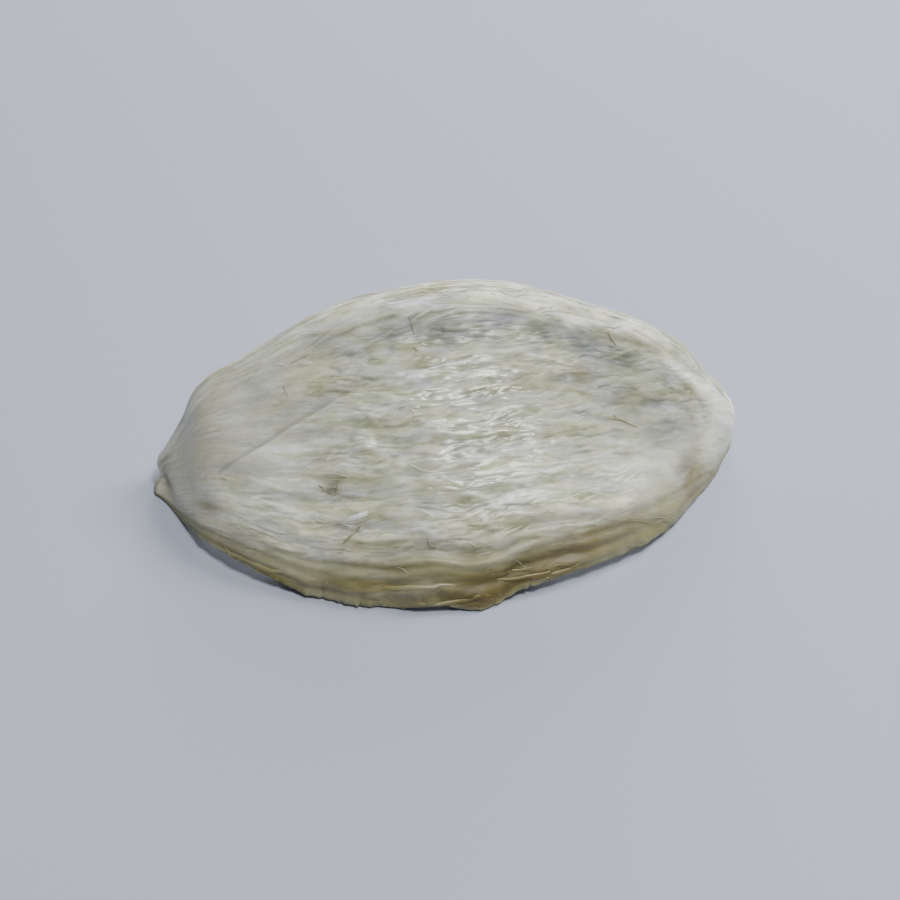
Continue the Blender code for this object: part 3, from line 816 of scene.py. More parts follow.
def strand_material(name, loose):
    """Dried strands: cream and paler where light is painted on the tone, greyer where thinner and where shade is
    painted, yellow at the thick edge with some painted shade, amber at the stains and at painted shade by the pale
    bands.
    """
    material = bpy.data.materials.new(name)
    material.use_nodes = True
    tree = material.node_tree
    shader = tree.nodes["Principled BSDF"]
    if loose:
        chart = add(tree, "ShaderNodeAttribute", {}, attribute_name="flow").outputs["Vector"]
    else:
        chart = add(tree, "ShaderNodeUVMap", {}, uv_map="strand_map").outputs["UV"]
    tone = add(tree, "ShaderNodeAttribute", {}, attribute_name="tone").outputs["Fac"]
    place = add(tree, "ShaderNodeTexCoord").outputs["Object"]
    stain_and_shade = add(tree, "ShaderNodeAttribute", {}, attribute_name="stain_and_shade").outputs["Vector"]
    stain_and_shade = add(tree, "ShaderNodeSeparateXYZ", {0: stain_and_shade}).outputs
    broad = stretched_noise(tree, chart, (6.0, 44.0, 1.0), 3.0, 0.55)
    patches = stretched_noise(tree, chart, (24.0, 72.0, 1.0), 2.5, 0.52)
    clouds = stretched_noise(tree, chart, (13.0, 40.0, 1.0), 3.0, 0.5)
    specks = stretched_noise(tree, place, (520.0, 900.0, 900.0), 2.0, 0.6)
    if loose:
        shades = ((0.10, (0.52, 0.52, 0.45)), (0.5, (0.66, 0.66, 0.60)), (0.88, (0.80, 0.80, 0.76)))
    else:
        shades = ((0.05, (0.44, 0.447, 0.385)), (0.5, (0.598, 0.604, 0.55)), (0.8, (0.738, 0.744, 0.70)), (1.0, (0.965, 0.97, 0.94)))
    colour = ramp(tree, tone, shades)
    colour = mix(tree, "MULTIPLY", 0.8, colour, ramp(tree, broad, ((0.35, (0.90, 0.88, 0.78)), (0.65, (1.0, 1.0, 1.0)))))
    blotch = ramp(tree, patches, ((0.36, (0.64, 0.665, 0.54)), (0.48, (0.91, 0.92, 0.87)), (0.60, (1.0, 1.0, 1.0))))
    reach = add(tree, "ShaderNodeSeparateXYZ", {0: chart}).outputs["X"]
    inland = ramp(tree, reach, ((0.02, (0.4, 0.4, 0.4)), (0.08, (1.0, 1.0, 1.0)), (0.92, (1.0, 1.0, 1.0)), (0.98, (0.4, 0.4, 0.4))))
    smooth = add(tree, "ShaderNodeAttribute", {}, attribute_name="smooth").outputs["Fac"]
    mottled = calc(tree, "MULTIPLY_ADD", smooth, -0.55, 1.0)
    inland = calc(tree, "MULTIPLY", inland, mottled)
    over = add(tree, "ShaderNodeSeparateXYZ", {0: chart}).outputs["Y"]
    calm = ramp(tree, over, ((0.24, (0.55, 0.55, 0.55)), (0.34, (0.72, 0.72, 0.72)), (0.43, (0.72, 0.72, 0.72)), (0.48, (0.36, 0.36, 0.36))))
    calm = calc(tree, "MULTIPLY", inland, calm)
    colour = mix(tree, "MULTIPLY", calm, colour, blotch)
    mist = stretched_noise(tree, place, (210.0, 320.0, 320.0), 2.5, 0.5)
    colour = mix(tree, "MULTIPLY", calc(tree, "MULTIPLY", mottled, 0.6), colour, ramp(tree, mist, ((0.38, (0.82, 0.845, 0.76)), (0.56, (1.0, 1.0, 1.0)))))
    hue = ramp(tree, clouds, ((0.37, (0.90, 0.93, 0.77)), (0.50, (0.98, 0.985, 0.945)), (0.63, (0.87, 0.885, 0.98))))
    colour = mix(tree, "MULTIPLY", calc(tree, "MULTIPLY", inland, 0.9), colour, hue)
    colour = mix(tree, "MULTIPLY", 0.5, colour, ramp(tree, specks, ((0.36, (0.84, 0.84, 0.80)), (0.5, (1.0, 1.0, 1.0)))))
    # The thick edge's yellow, made darker than its own colour as painted shade on the low belt, with the olive shade
    # painted in pits and dips.
    colour = mix(tree, "MULTIPLY", calc(tree, "MULTIPLY", stain_and_shade["Y"], 0.95), colour, (0.34, 0.305, 0.11))
    # Painted shade and thinner patches: darker towards bluish grey.
    colour = mix(tree, "MULTIPLY", stain_and_shade["Z"], colour, (0.29, 0.30, 0.35))
    # Amber: stains, and painted shade at the pale bands' border and in the pit.
    colour = mix(tree, "MULTIPLY", stain_and_shade["X"], colour, (0.60, 0.51, 0.33))
    feed(tree, shader.inputs["Base Color"], colour)
    gloss = calc(tree, "MULTIPLY_ADD", broad, 0.24, 0.08 if loose else 0.09)
    if not loose:
        dry = ramp(tree, over, ((0.10, (1.0, 1.0, 1.0)), (0.26, (0.0, 0.0, 0.0)), (0.41, (0.0, 0.0, 0.0)), (0.47, (1.0, 1.0, 1.0))))
        gloss = calc(tree, "MULTIPLY_ADD", dry, 0.14, gloss)
    gloss = calc(tree, "MULTIPLY_ADD", stain_and_shade["Z"], 0.16, gloss)
    feed(tree, shader.inputs["Roughness"], calc(tree, "MULTIPLY_ADD", stain_and_shade["Y"], 0.22, gloss))
    pits = stretched_noise(tree, place, (1500.0, 2400.0, 2400.0), 2.0, 0.6)
    fibres = stretched_noise(tree, chart, (48.0, 760.0, 1.0), 3.0, 0.6)
    height = calc(tree, "MULTIPLY_ADD", pits, 0.3, fibres)
    ripples = stretched_noise(tree, chart, (95.0, 330.0, 1.0), 2.0, 0.5)
    height = calc(tree, "MULTIPLY_ADD", ripples, 1.8, height)
    dent = add(tree, "ShaderNodeBump", {"Strength": 0.42, "Distance": 0.00006, "Height": height})
    feed(tree, shader.inputs["Normal"], dent.outputs["Normal"])
    shader.inputs["Subsurface Weight"].default_value = 0.0 if loose else 0.75
    shader.inputs["Subsurface Radius"].default_value = (1.0, 0.93, 0.78)
    shader.inputs["Subsurface Scale"].default_value = 0.0065
    shader.inputs["IOR"].default_value = 1.55
    shader.inputs["Specular IOR Level"].default_value = 0.55
    return material


STRAND_SIZES = (
    ("Strands", "NodeSocketInt"),
    ("Steps", "NodeSocketInt"),
    ("Sides", "NodeSocketInt"),
    ("Bundle", "NodeSocketInt"),
    ("Bundle Along", "NodeSocketFloat"),
    ("Bundle Across", "NodeSocketFloat"),
    ("From Along", "NodeSocketFloat"),
    ("To Along", "NodeSocketFloat"),
    ("From Across", "NodeSocketFloat"),
    ("To Across", "NodeSocketFloat"),
    ("Across Span", "NodeSocketFloat"),
    ("Shortest", "NodeSocketFloat"),
    ("Longest", "NodeSocketFloat"),
    ("Bundle Lean", "NodeSocketFloat"),
    ("Strand Lean", "NodeSocketFloat"),
    ("Wander", "NodeSocketFloat"),
    ("Wander Pitch", "NodeSocketFloat"),
    ("Thinnest", "NodeSocketFloat"),
    ("Thickest", "NodeSocketFloat"),
    ("Flatness", "NodeSocketFloat"),
    ("Lowest", "NodeSocketFloat"),
    ("Highest", "NodeSocketFloat"),
    ("Dive", "NodeSocketFloat"),
    ("Spare Windows", "NodeSocketFloat"),
    ("Tone From", "NodeSocketFloat"),
    ("Tone To", "NodeSocketFloat"),
    ("Seed", "NodeSocketInt"),
    ("Finish", "NodeSocketMaterial"),
)
ALONG_SPAN = 113.0


def strand_tree():
    """Strands laid on the skin: bundles of fine flattened strands that follow its map."""
    tree = bpy.data.node_groups.new("dried_strands", "GeometryNodeTree")
    tree.interface.new_socket(name="Skin", in_out="INPUT", socket_type="NodeSocketGeometry")
    tree.interface.new_socket(name="Strands", in_out="OUTPUT", socket_type="NodeSocketGeometry")
    sockets = {}
    for name, kind in STRAND_SIZES:
        sockets[name] = tree.interface.new_socket(name=name, in_out="INPUT", socket_type=kind).identifier
    size = tree.nodes.new("NodeGroupInput").outputs

    def work(kind, *values):
        return calc(tree, kind, *values)

    def named(name, kind="FLOAT"):
        return add(tree, "GeometryNodeInputNamedAttribute", {"Name": name}, data_type=kind).outputs["Attribute"]

    def chance(low, high, key, turn):
        seed = work("MULTIPLY_ADD", size["Seed"], 37.0, float(turn))
        made = add(tree, "FunctionNodeRandomValue", {2: low, 3: high, "ID": key, "Seed": seed}, data_type="FLOAT")
        return made.outputs[1]

    def vector(x, y, z):
        return add(tree, "ShaderNodeCombineXYZ", {0: x, 1: y, 2: z}).outputs[0]

    def sway(along, key, apart):
        """Smooth wander between about -1 and 1 along one strand or bundle."""
        where = vector(along, work("MULTIPLY_ADD", key, 7.31, apart), work("MULTIPLY_ADD", size["Seed"], 3.7, 0.5))
        fac = add(tree, "ShaderNodeTexNoise", {"Vector": where, "Scale": 1.0, "Detail": 1.0}).outputs["Fac"]
        return work("MULTIPLY_ADD", fac, 3.6, -1.8)

    def keep(geometry, name, value, kind="FLOAT"):
        made = add(tree, "GeometryNodeStoreNamedAttribute",
                   {"Geometry": geometry, "Name": name, "Value": value}, data_type=kind, domain="POINT")
        return made.outputs[0]

    def on_skin(value, where, kind="FLOAT_VECTOR"):
        chart = named("strand_map", "FLOAT_VECTOR")
        return add(tree, "GeometryNodeSampleUVSurface",
                   {"Mesh": size["Skin"], "Value": value, 2: chart, 3: where}, data_type=kind).outputs

    seeds = add(tree, "GeometryNodePoints", {"Count": size["Strands"]}).outputs[0]
    line = add(tree, "GeometryNodeCurvePrimitiveLine").outputs[0]
    line = add(tree, "GeometryNodeResampleCurve", {"Curve": line, "Count": size["Steps"]}).outputs[0]
    lines = add(tree, "GeometryNodeInstanceOnPoints", {"Points": seeds, "Instance": line}).outputs[0]
    lines = add(tree, "GeometryNodeRealizeInstances", {0: lines}).outputs[0]
    lines = keep(lines, "strand", add(tree, "GeometryNodeCurveOfPoint").outputs["Curve Index"])
    strand = named("strand")
    bundle = work("FLOOR", work("DIVIDE", strand, size["Bundle"]))

    along = work("MULTIPLY_ADD", chance(-1.0, 1.0, strand, 2), work("DIVIDE", size["Bundle Along"], ALONG_SPAN),
                 chance(size["From Along"], size["To Along"], bundle, 1))
    across = work("MULTIPLY_ADD", chance(-1.0, 1.0, strand, 4), work("DIVIDE", size["Bundle Across"], size["Across Span"]),
                  chance(size["From Across"], size["To Across"], bundle, 3))
    spot = add(tree, "GeometryNodeSplineParameter").outputs["Factor"]
    length = chance(size["Shortest"], size["Longest"], strand, 5)
    run = work("MULTIPLY", work("SUBTRACT", spot, 0.5), length)
    bundle_lean = work("MULTIPLY", work("POWER", chance(-1.0, 1.0, bundle, 6), 3.0), size["Bundle Lean"])
    strand_lean = work("MULTIPLY", work("POWER", chance(-1.0, 1.0, strand, 7), 3.0), size["Strand Lean"])
    lean = work("ADD", bundle_lean, strand_lean)
    pitch = work("DIVIDE", run, size["Wander Pitch"])
    wander = work("ADD", work("MULTIPLY", sway(pitch, bundle, 0.0), size["Wander"]),
                  work("MULTIPLY", sway(work("MULTIPLY", pitch, 2.3), strand, 90.0), work("MULTIPLY", size["Wander"], 0.35)))
    along = work("MULTIPLY_ADD", work("MULTIPLY", run, work("COSINE", lean)), 1.0 / ALONG_SPAN, along)
    across = work("ADD", across, work("DIVIDE", work("MULTIPLY_ADD", run, work("SINE", lean), wander), size["Across Span"]))
    lines = keep(lines, "flow", vector(along, across, 0.0), "FLOAT_VECTOR")
    flow = named("flow", "FLOAT_VECTOR")
    found = on_skin(add(tree, "GeometryNodeInputPosition").outputs[0], flow)
    off = add(tree, "FunctionNodeBooleanMath", {0: found["Is Valid"]}, operation="NOT").outputs[0]
    lines = add(tree, "GeometryNodeSetPosition", {"Geometry": lines, "Position": found["Value"]}).outputs[0]
    lines = add(tree, "GeometryNodeDeleteGeometry", {"Geometry": lines, "Selection": off}, domain="POINT").outputs[0]
    left = add(tree, "GeometryNodeSplineLength").outputs["Point Count"]
    few = add(tree, "FunctionNodeCompare", {2: left, 3: 4}, data_type="INT", operation="LESS_THAN").outputs[0]
    lines = add(tree, "GeometryNodeDeleteGeometry", {"Geometry": lines, "Selection": few}, domain="CURVE").outputs[0]

    up = on_skin(add(tree, "GeometryNodeInputNormal").outputs[0], flow)["Value"]
    lines = keep(lines, "lift_way", up, "FLOAT_VECTOR")
    lines = keep(lines, "stain_and_shade", on_skin(named("stain_and_shade", "FLOAT_VECTOR"), flow)["Value"], "FLOAT_VECTOR")
    up = named("lift_way", "FLOAT_VECTOR")
    spot = add(tree, "GeometryNodeSplineParameter").outputs["Factor"]
    from_middle = work("ABSOLUTE", work("MULTIPLY_ADD", spot, 2.0, -1.0))
    body = work("SUBTRACT", 1.0, work("POWER", from_middle, 4.0))
    thin_and_shade = add(tree, "ShaderNodeSeparateXYZ", {0: named("stain_and_shade", "FLOAT_VECTOR")}).outputs["Z"]
    spared = work("GREATER_THAN", chance(0.0, 1.0, strand, 9), size["Spare Windows"])
    gap = work("MULTIPLY", thin_and_shade, spared)
    stand = work("MULTIPLY_ADD", sway(work("MULTIPLY", spot, 3.0), strand, 40.0), 0.05,
                 chance(size["Lowest"], size["Highest"], strand, 8))
    lift = work("SUBTRACT", work("MULTIPLY", work("ADD", stand, size["Dive"]), body), size["Dive"])
    lift = work("MULTIPLY_ADD", gap, -0.12, lift)
    push = add(tree, "ShaderNodeVectorMath", {0: up, "Scale": work("MULTIPLY", lift, MM)}, operation="SCALE").outputs[0]
    lines = add(tree, "GeometryNodeSetPosition", {"Geometry": lines, "Offset": push}).outputs[0]
    lines = add(tree, "GeometryNodeSetCurveNormal", {"Curve": lines, "Normal": up}, mode="FREE").outputs[0]
    tone = work("ADD", work("MULTIPLY", chance(size["Tone From"], size["Tone To"], bundle, 10), 0.5),
                work("MULTIPLY", chance(size["Tone From"], size["Tone To"], strand, 11), 0.5))
    lines = keep(lines, "tone", tone)
    taper = work("MULTIPLY_ADD", work("SUBTRACT", 1.0, work("POWER", from_middle, 2.5)), 0.72, 0.28)
    swell = work("MULTIPLY_ADD", sway(work("MULTIPLY", spot, 5.0), strand, 60.0), 0.16, 1.0)
    half = work("MULTIPLY", work("MULTIPLY", chance(size["Thinnest"], size["Thickest"], strand, 12), taper), swell)
    half = work("MULTIPLY", half, work("MULTIPLY_ADD", gap, -0.72, 1.0))
    half = work("MULTIPLY", work("MAXIMUM", half, 0.03), MM)
    outline = add(tree, "GeometryNodeCurvePrimitiveCircle", {"Resolution": size["Sides"], "Radius": 1.0}).outputs[0]
    outline = add(tree, "GeometryNodeTransform", {"Geometry": outline, "Scale": vector(size["Flatness"], 1.0, 1.0)}).outputs[0]
    rope = add(tree, "GeometryNodeCurveToMesh",
               {"Curve": lines, "Profile Curve": outline, "Scale": half, "Fill Caps": True}).outputs[0]
    here = add(tree, "GeometryNodeInputPosition").outputs[0]
    here = add(tree, "ShaderNodeSeparateXYZ", {0: here}).outputs
    above = vector(here["X"], here["Y"], work("MAXIMUM", here["Z"], 0.00004))
    rope = add(tree, "GeometryNodeSetPosition", {"Geometry": rope, "Position": above}).outputs[0]
    rope = add(tree, "GeometryNodeSetShadeSmooth", {"Geometry": rope}).outputs[0]
    rope = add(tree, "GeometryNodeRealizeInstances", {0: rope}).outputs[0]
    rope = add(tree, "GeometryNodeSetMaterial", {"Geometry": rope, "Material": size["Finish"]}).outputs[0]
    feed(tree, tree.nodes.new("NodeGroupOutput").inputs[0], rope)
    return tree, sockets


def lay_strands(name, skin, way, finish, **sizes):
    """One piece of strands, made plain mesh."""
    tree, sockets = way
    layer = skin.modifiers.new(name, "NODES")
    layer.node_group = tree
    for size, value in sizes.items():
        layer[sockets[size.replace("_", " ")]] = value
    layer[sockets["Finish"]] = finish
    depsgraph = bpy.context.evaluated_depsgraph_get()
    depsgraph.update()
    mesh = bpy.data.meshes.new_from_object(skin.evaluated_get(depsgraph), preserve_all_data_layers=True,
                                           depsgraph=depsgraph)
    skin.modifiers.remove(layer)
    mesh.name = name
    for spare in ("strand", "lift_way"):
        if spare in mesh.attributes:
            mesh.attributes.remove(mesh.attributes[spare])
    piece = bpy.data.objects.new(name, mesh)
    bpy.context.scene.collection.objects.link(piece)
    print(name, "triangles", sum(len(face.vertices) - 2 for face in mesh.polygons))
    return piece


# Small things caught in the strands: places (along, across), half width and lift in mm.
BARBS = (
    (((-22.7, 0.170), (-21.0, 0.198), (-19.2, 0.226)), 0.24, (0.00, 0.24, 0.05)),
    (((-23.6, 0.231), (-22.5, 0.224), (-21.3, 0.220)), 0.11, (-0.02, 0.06, -0.04)),
    (((-20.4, 0.231), (-19.3, 0.234), (-18.2, 0.239)), 0.10, (-0.04, 0.05, -0.04)),
    (((-7.9, 0.180), (-7.6, 0.156), (-6.9, 0.146), (-6.4, 0.150)), 0.12, (0.0, 0.18, 0.12, 0.0)),
    (((28.3, 0.480), (30.0, 0.476), (31.8, 0.458), (34.4, 0.436)), 0.26, (-0.06, 0.05, 0.05, -0.10)),
    (((29.2, 0.500), (29.5, 0.486), (28.9, 0.470)), 0.12, (-0.02, 0.08, -0.02)),
    (((30.9, 0.860), (31.4, 0.841), (32.6, 0.812)), 0.13, (0.0, 0.14, -0.02)),
    (((-6.9, 0.862), (-6.5, 0.836), (-6.3, 0.808)), 0.12, (0.0, 0.12, -0.03)),
    (((-31.1, 0.735), (-30.7, 0.712), (-30.3, 0.688)), 0.08, (0.0, 0.08, -0.02)),
    (((-29.6, 0.822), (-27.9, 0.825), (-25.7, 0.830)), 0.09, (-0.03, 0.04, -0.03)),
    (((-6.7, 0.770), (-6.3, 0.757), (-6.0, 0.745)), 0.12, (-0.02, 0.08, -0.02)),
    (((-26.4, 0.352), (-25.6, 0.345), (-25.1, 0.331)), 0.13, (-0.03, 0.07, -0.05)),
    (((-22.7, 0.368), (-22.9, 0.347), (-23.4, 0.324)), 0.15, (-0.02, 0.09, -0.04)),
    (((-24.6, 0.345), (-23.4, 0.340), (-22.0, 0.333)), 0.12, (-0.04, 0.06, -0.04)),
    (((-24.9, 0.330), (-24.0, 0.322), (-23.0, 0.319)), 0.10, (-0.03, 0.05, -0.04)),
    (((7.5, 0.089), (8.8, 0.069), (10.1, 0.047)), 0.10, (-0.02, 0.06, -0.04)),
)
FLAKES = (
    (((-22.2, 0.238), (-19.9, 0.252), (-17.5, 0.265)), 0.48, (-0.22, 0.02, -0.22)),
)
LOOP = (
    (((-44.2, 0.058), (-43.4, 0.030), (-42.2, 0.016), (-41.0, 0.034), (-40.6, 0.060)), 0.11, (-0.1, 0.2, 0.3, 0.2, -0.1)),
)


def on_outside(skin_map, x, across):
    """Point of the outside at a place along and across, and the way out of the skin there."""
    grid, facts = (part[END_RINGS:-END_RINGS, :SKIN_OUTER] for part in skin_map)
    rows = facts[:, 0, 0]

    def spot(x, across):
        across = min(across, top)
        i = int(np.clip(np.searchsorted(rows, x) - 1, 0, len(rows) - 2))
        share = np.clip((x - rows[i]) / (rows[i + 1] - rows[i]), 0.0, 1.0)
        ends = [[np.interp(across, facts[k, :, 1], grid[k, :, axis]) for axis in range(3)] for k in (i, i + 1)]
        return np.array(ends[0]) * (1.0 - share) + np.array(ends[1]) * share

    top = facts[int(np.clip(np.searchsorted(rows, x) - 1, 0, len(rows) - 1)), -1, 1]
    across = min(across, top - 0.012)
    along = spot(x + 0.5, across) - spot(x - 0.5, across)
    over = spot(x, across + 0.012) - spot(x, across - 0.012)
    out = np.cross(along, over)
    return spot(x, across), out / np.linalg.norm(out)


def thread_mesh(skin_map, marks, half, lifts, flat=0.8, sides=6, steps=14):
    """Thin tapered thread over a few places on the skin."""
    marks = np.array(marks, float)
    share = np.linspace(0.0, 1.0, len(marks))
    t = np.linspace(0.0, 1.0, steps)
    x = through(share, marks[:, 0], t)
    across = through(share, marks[:, 1], t)
    lift = through(np.linspace(0.0, 1.0, len(lifts)), lifts, t) * MM
    found = [on_outside(skin_map, a, b) for a, b in zip(x, across)]
    out = np.array([way for _, way in found])
    centre = np.array([point for point, _ in found]) + out * lift[:, None]
    centre[1:-1] = (centre[:-2] + 2.0 * centre[1:-1] + centre[2:]) / 4.0
    way = np.gradient(centre, axis=0)
    way /= np.linalg.norm(way, axis=1)[:, None]
    side = np.cross(way, out)
    side /= np.linalg.norm(side, axis=1)[:, None]
    up = np.cross(side, way)
    size = half * MM * (0.25 + 0.75 * np.sqrt(np.clip(1.0 - (2.0 * t - 1.0) ** 4, 0.0, 1.0)))
    turn = np.linspace(0.0, 2.0 * np.pi, sides, endpoint=False)
    round_way = side[:, None] * np.cos(turn)[None, :, None] + flat * up[:, None] * np.sin(turn)[None, :, None]
    points = (centre[:, None] + size[:, None, None] * round_way).reshape(-1, 3)
    points[:, 2] = np.maximum(points[:, 2], 0.00004)
    index = np.arange(steps * sides).reshape(steps, sides)
    turned = np.roll(index, -1, axis=1)
    faces = np.stack([index[:-1], turned[:-1], turned[1:], index[1:]], -1).reshape(-1, 4).tolist()
    faces += [index[0][::-1].tolist(), index[-1].tolist()]
    return points, faces, np.repeat(across, sides)


def join_meshes(name, parts, finish, tone):
    """One piece from many small meshes, tinted as the skin around them."""
    points = []
    faces = []
    places = []
    for part_points, part_faces, across in parts:
        start = sum(len(done) for done in points)
        points.append(part_points)
        faces += [[start + corner for corner in face] for face in part_faces]
        places.append(across)
    points = np.vstack(points)
    across = np.concatenate(places)
    mesh = bpy.data.meshes.new(name)
    mesh.from_pydata(points.tolist(), [], faces)
    mesh.shade_smooth()
    mesh.materials.append(finish)
    edge = 1.0 - blend(across / 0.24)
    stain_and_shade = np.stack([0.0 * edge, edge, 0.0 * edge], -1).astype(np.float32)
    mesh.attributes.new("stain_and_shade", "FLOAT_VECTOR", "POINT").data.foreach_set("vector", stain_and_shade.ravel())
    flow = (points * (1.0 / 0.113, 1.0 / 0.06, 1.0)).astype(np.float32)
    mesh.attributes.new("flow", "FLOAT_VECTOR", "POINT").data.foreach_set("vector", flow.ravel())
    tones = np.full(len(points), tone, np.float32)
    mesh.attributes.new("tone", "FLOAT", "POINT").data.foreach_set("value", tones)
    piece = bpy.data.objects.new(name, mesh)
    bpy.context.scene.collection.objects.link(piece)
    return piece


def stray_marks(chance, count):
    """Short loose ends that stand up a little, most of them near the lip and the attached edge."""
    made = []
    for _ in range(count):
        x = chance.uniform(-50.0, 50.0)
        pick = chance.uniform()
        across = chance.uniform(0.0, 0.05) if pick < 0.15 else chance.uniform(0.9, 0.98) if pick < 0.6 else chance.uniform(0.1, 0.9)
        reach = chance.uniform(1.0, 2.8)
        lean = chance.normal(0.0, 0.35)
        bend = chance.uniform(-0.6, 0.6)
        ends = [(x + reach * t * math.cos(lean + bend * t),
                 np.clip(across + reach * t * math.sin(lean + bend * t) / 62.0, 0.0, 0.985)) for t in (0.0, 0.5, 1.0)]
        made.append((ends, chance.uniform(0.05, 0.10), (-0.05, chance.uniform(0.05, 0.2), chance.uniform(0.1, 0.5))))
    return made


def plain_finish(name, dark, pale, roughness):
    """Finish of the small caught pieces: two shades mixed by fine noise."""
    material = bpy.data.materials.new(name)
    material.use_nodes = True
    tree = material.node_tree
    shader = tree.nodes["Principled BSDF"]
    place = add(tree, "ShaderNodeTexCoord").outputs["Object"]
    patches = stretched_noise(tree, place, (900.0, 900.0, 900.0), 3.0, 0.6)
    feed(tree, shader.inputs["Base Color"], ramp(tree, patches, ((0.35, dark), (0.65, pale))))
    feed(tree, shader.inputs["Roughness"], calc(tree, "MULTIPLY_ADD", patches, 0.3, roughness - 0.15))
    dent = add(tree, "ShaderNodeBump", {"Strength": 0.4, "Distance": 0.00005, "Height": patches})
    feed(tree, shader.inputs["Normal"], dent.outputs["Normal"])
    return material


def make_stage():
    """Plain pale floor, a camera at the picture's angle and soft studio lights."""
    floor_mesh = bpy.data.meshes.new("floor")
    floor_mesh.from_pydata([(-3, -3, 0), (3, -3, 0), (3, 3, 0), (-3, 3, 0)], [], [(0, 1, 2, 3)])
    floor = bpy.data.objects.new("floor", floor_mesh)
    bpy.context.scene.collection.objects.link(floor)
    paper = bpy.data.materials.new("pale_floor")
    paper.use_nodes = True
    shader = paper.node_tree.nodes["Principled BSDF"]
    shader.inputs["Base Color"].default_value = (0.36, 0.385, 0.47, 1.0)
    shader.inputs["Roughness"].default_value = 0.85
    shader.inputs["Specular IOR Level"].default_value = 0.2
    floor_mesh.materials.append(paper)

    camera_data = bpy.data.cameras.new("camera")
    camera_data.lens = 85.0
    camera_data.sensor_width = 36.0
    camera_data.clip_start = 0.01
    camera = bpy.data.objects.new("camera", camera_data)
    turn = math.radians(-7.0)
    tilt = math.radians(38.0)
    back = Vector((math.sin(turn) * math.cos(tilt), -math.cos(turn) * math.cos(tilt), math.sin(tilt)))
    camera.location = (-0.03903, -0.30704, 0.25826)
    camera.rotation_euler = back.to_track_quat("Z", "Y").to_euler()
    bpy.context.scene.collection.objects.link(camera)
    bpy.context.scene.camera = camera

    def area(name, place, aim, size, power, colour, glints):
        data = bpy.data.lights.new(name, "AREA")
        data.shape = "DISK"
        data.size = size
        data.energy = power
        data.color = colour
        lamp = bpy.data.objects.new(name, data)
        lamp.location = place
        lamp.visible_glossy = glints
        lamp.rotation_euler = (Vector(place) - Vector(aim)).to_track_quat("Z", "Y").to_euler()
        bpy.context.scene.collection.objects.link(lamp)

    area("back_light", (0.10, 0.70, 0.25), (0, 0, 0.01), 0.40, 5.0, (1.0, 0.985, 0.96), False)
    area("side_light", (0.44, 0.20, 0.58), (0, 0, 0.01), 0.36, 5.4, (1.0, 0.99, 0.97), False)
    area("key_light", (0.215, -0.307, 0.927), (0, 0, 0.01), 0.32, 9.4, (1.0, 0.995, 0.98), True)
    world = bpy.data.worlds.new("studio")
    bpy.context.scene.world = world
    world.use_nodes = True
    sky = world.node_tree.nodes["Background"]
    sky.inputs["Color"].default_value = (0.94, 0.955, 1.0, 1.0)
    sky.inputs["Strength"].default_value = 0.17


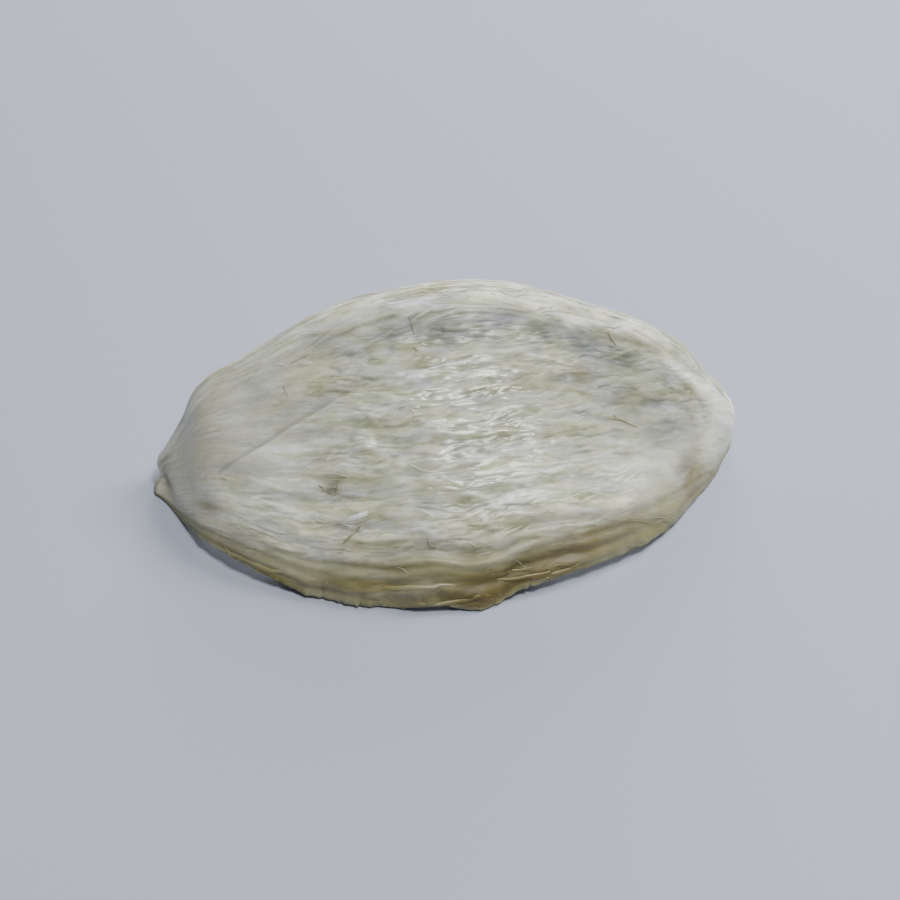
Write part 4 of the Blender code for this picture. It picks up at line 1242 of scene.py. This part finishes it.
make_stage()
skin, *skin_map = make_skin()
skin_finish = strand_material("dried_strand_skin", False)
strand_finish = strand_material("dried_strands", True)
way = strand_tree()
pieces = [
    lay_strands("outer_strands", skin, way, strand_finish, Strands=300, Steps=10, Sides=5, Bundle=3,
                Bundle_Along=3.0, Bundle_Across=1.0, From_Along=0.10, To_Along=0.97, From_Across=0.09, To_Across=0.5,
                Across_Span=124.0, Shortest=2.0, Longest=8.0, Bundle_Lean=0.30, Strand_Lean=0.18,
                Wander=0.45, Wander_Pitch=3.5, Thinnest=0.08, Thickest=0.16, Flatness=0.4,
                Lowest=-0.04, Highest=0.03, Dive=0.10, Spare_Windows=0.2, Tone_From=0.3, Tone_To=0.9, Seed=5),
    lay_strands("lip_strands", skin, way, strand_finish, Strands=700, Steps=10, Sides=4, Bundle=5,
                Bundle_Along=5.0, Bundle_Across=1.0, From_Along=0.01, To_Along=0.99, From_Across=0.47, To_Across=0.61,
                Across_Span=124.0, Shortest=6.0, Longest=16.0, Bundle_Lean=0.22, Strand_Lean=0.12,
                Wander=0.4, Wander_Pitch=9.0, Thinnest=0.07, Thickest=0.18, Flatness=0.8,
                Lowest=-0.05, Highest=0.12, Dive=0.15, Spare_Windows=0.0, Tone_From=0.4, Tone_To=1.0, Seed=7),
    lay_strands("hollow_strands", skin, way, strand_finish, Strands=1500, Steps=10, Sides=4, Bundle=3,
                Bundle_Along=4.0, Bundle_Across=1.6, From_Along=0.01, To_Along=0.99, From_Across=0.58, To_Across=0.96,
                Across_Span=162.0, Shortest=6.0, Longest=17.0, Bundle_Lean=1.3, Strand_Lean=0.4,
                Wander=0.8, Wander_Pitch=7.0, Thinnest=0.10, Thickest=0.24, Flatness=0.8,
                Lowest=0.0, Highest=0.35, Dive=0.2, Spare_Windows=0.0, Tone_From=0.2, Tone_To=0.9, Seed=9),
    lay_strands("edge_strands", skin, way, strand_finish, Strands=64, Steps=16, Sides=6, Bundle=2,
                Bundle_Along=7.0, Bundle_Across=1.2, From_Along=0.04, To_Along=0.96, From_Across=0.0, To_Across=0.12,
                Across_Span=124.0, Shortest=10.0, Longest=28.0, Bundle_Lean=0.12, Strand_Lean=0.08,
                Wander=0.7, Wander_Pitch=9.0, Thinnest=0.22, Thickest=0.60, Flatness=0.5,
                Lowest=-0.30, Highest=-0.08, Dive=0.4, Spare_Windows=0.0, Tone_From=0.5, Tone_To=0.9, Seed=11),
    lay_strands("underside_strands", skin, way, strand_finish, Strands=260, Steps=10, Sides=4, Bundle=4,
                Bundle_Along=5.0, Bundle_Across=1.2, From_Along=0.04, To_Along=0.96, From_Across=0.95, To_Across=1.0,
                Across_Span=120.0, Shortest=8.0, Longest=18.0, Bundle_Lean=0.3, Strand_Lean=0.2,
                Wander=0.6, Wander_Pitch=8.0, Thinnest=0.12, Thickest=0.3, Flatness=0.7,
                Lowest=-0.1, Highest=0.1, Dive=0.3, Spare_Windows=0.0, Tone_From=0.1, Tone_To=0.7, Seed=13),
]
chance = np.random.RandomState(17)
barb_finish = plain_finish("dark_barbs", (0.15, 0.14, 0.075), (0.33, 0.32, 0.20), 0.45)
flake_finish = plain_finish("white_flakes", (0.66, 0.66, 0.65), (0.84, 0.84, 0.83), 0.3)
pieces += [
    join_meshes("caught_barbs", [thread_mesh(skin_map, *barb) for barb in BARBS], barb_finish, 0.5),
    join_meshes("white_flakes", [thread_mesh(skin_map, *flake, flat=0.4, sides=10) for flake in FLAKES], flake_finish, 1.0),
    join_meshes("edge_loop", [thread_mesh(skin_map, *loop, steps=24) for loop in LOOP], strand_finish, 0.6),
    join_meshes("stray_ends", [thread_mesh(skin_map, *stray, sides=5, steps=8) for stray in stray_marks(chance, 80)],
                strand_finish, 0.85),
]
skin.data.materials.append(skin_finish)
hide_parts("nest")
for piece in [skin] + pieces:
    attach(piece, "root")
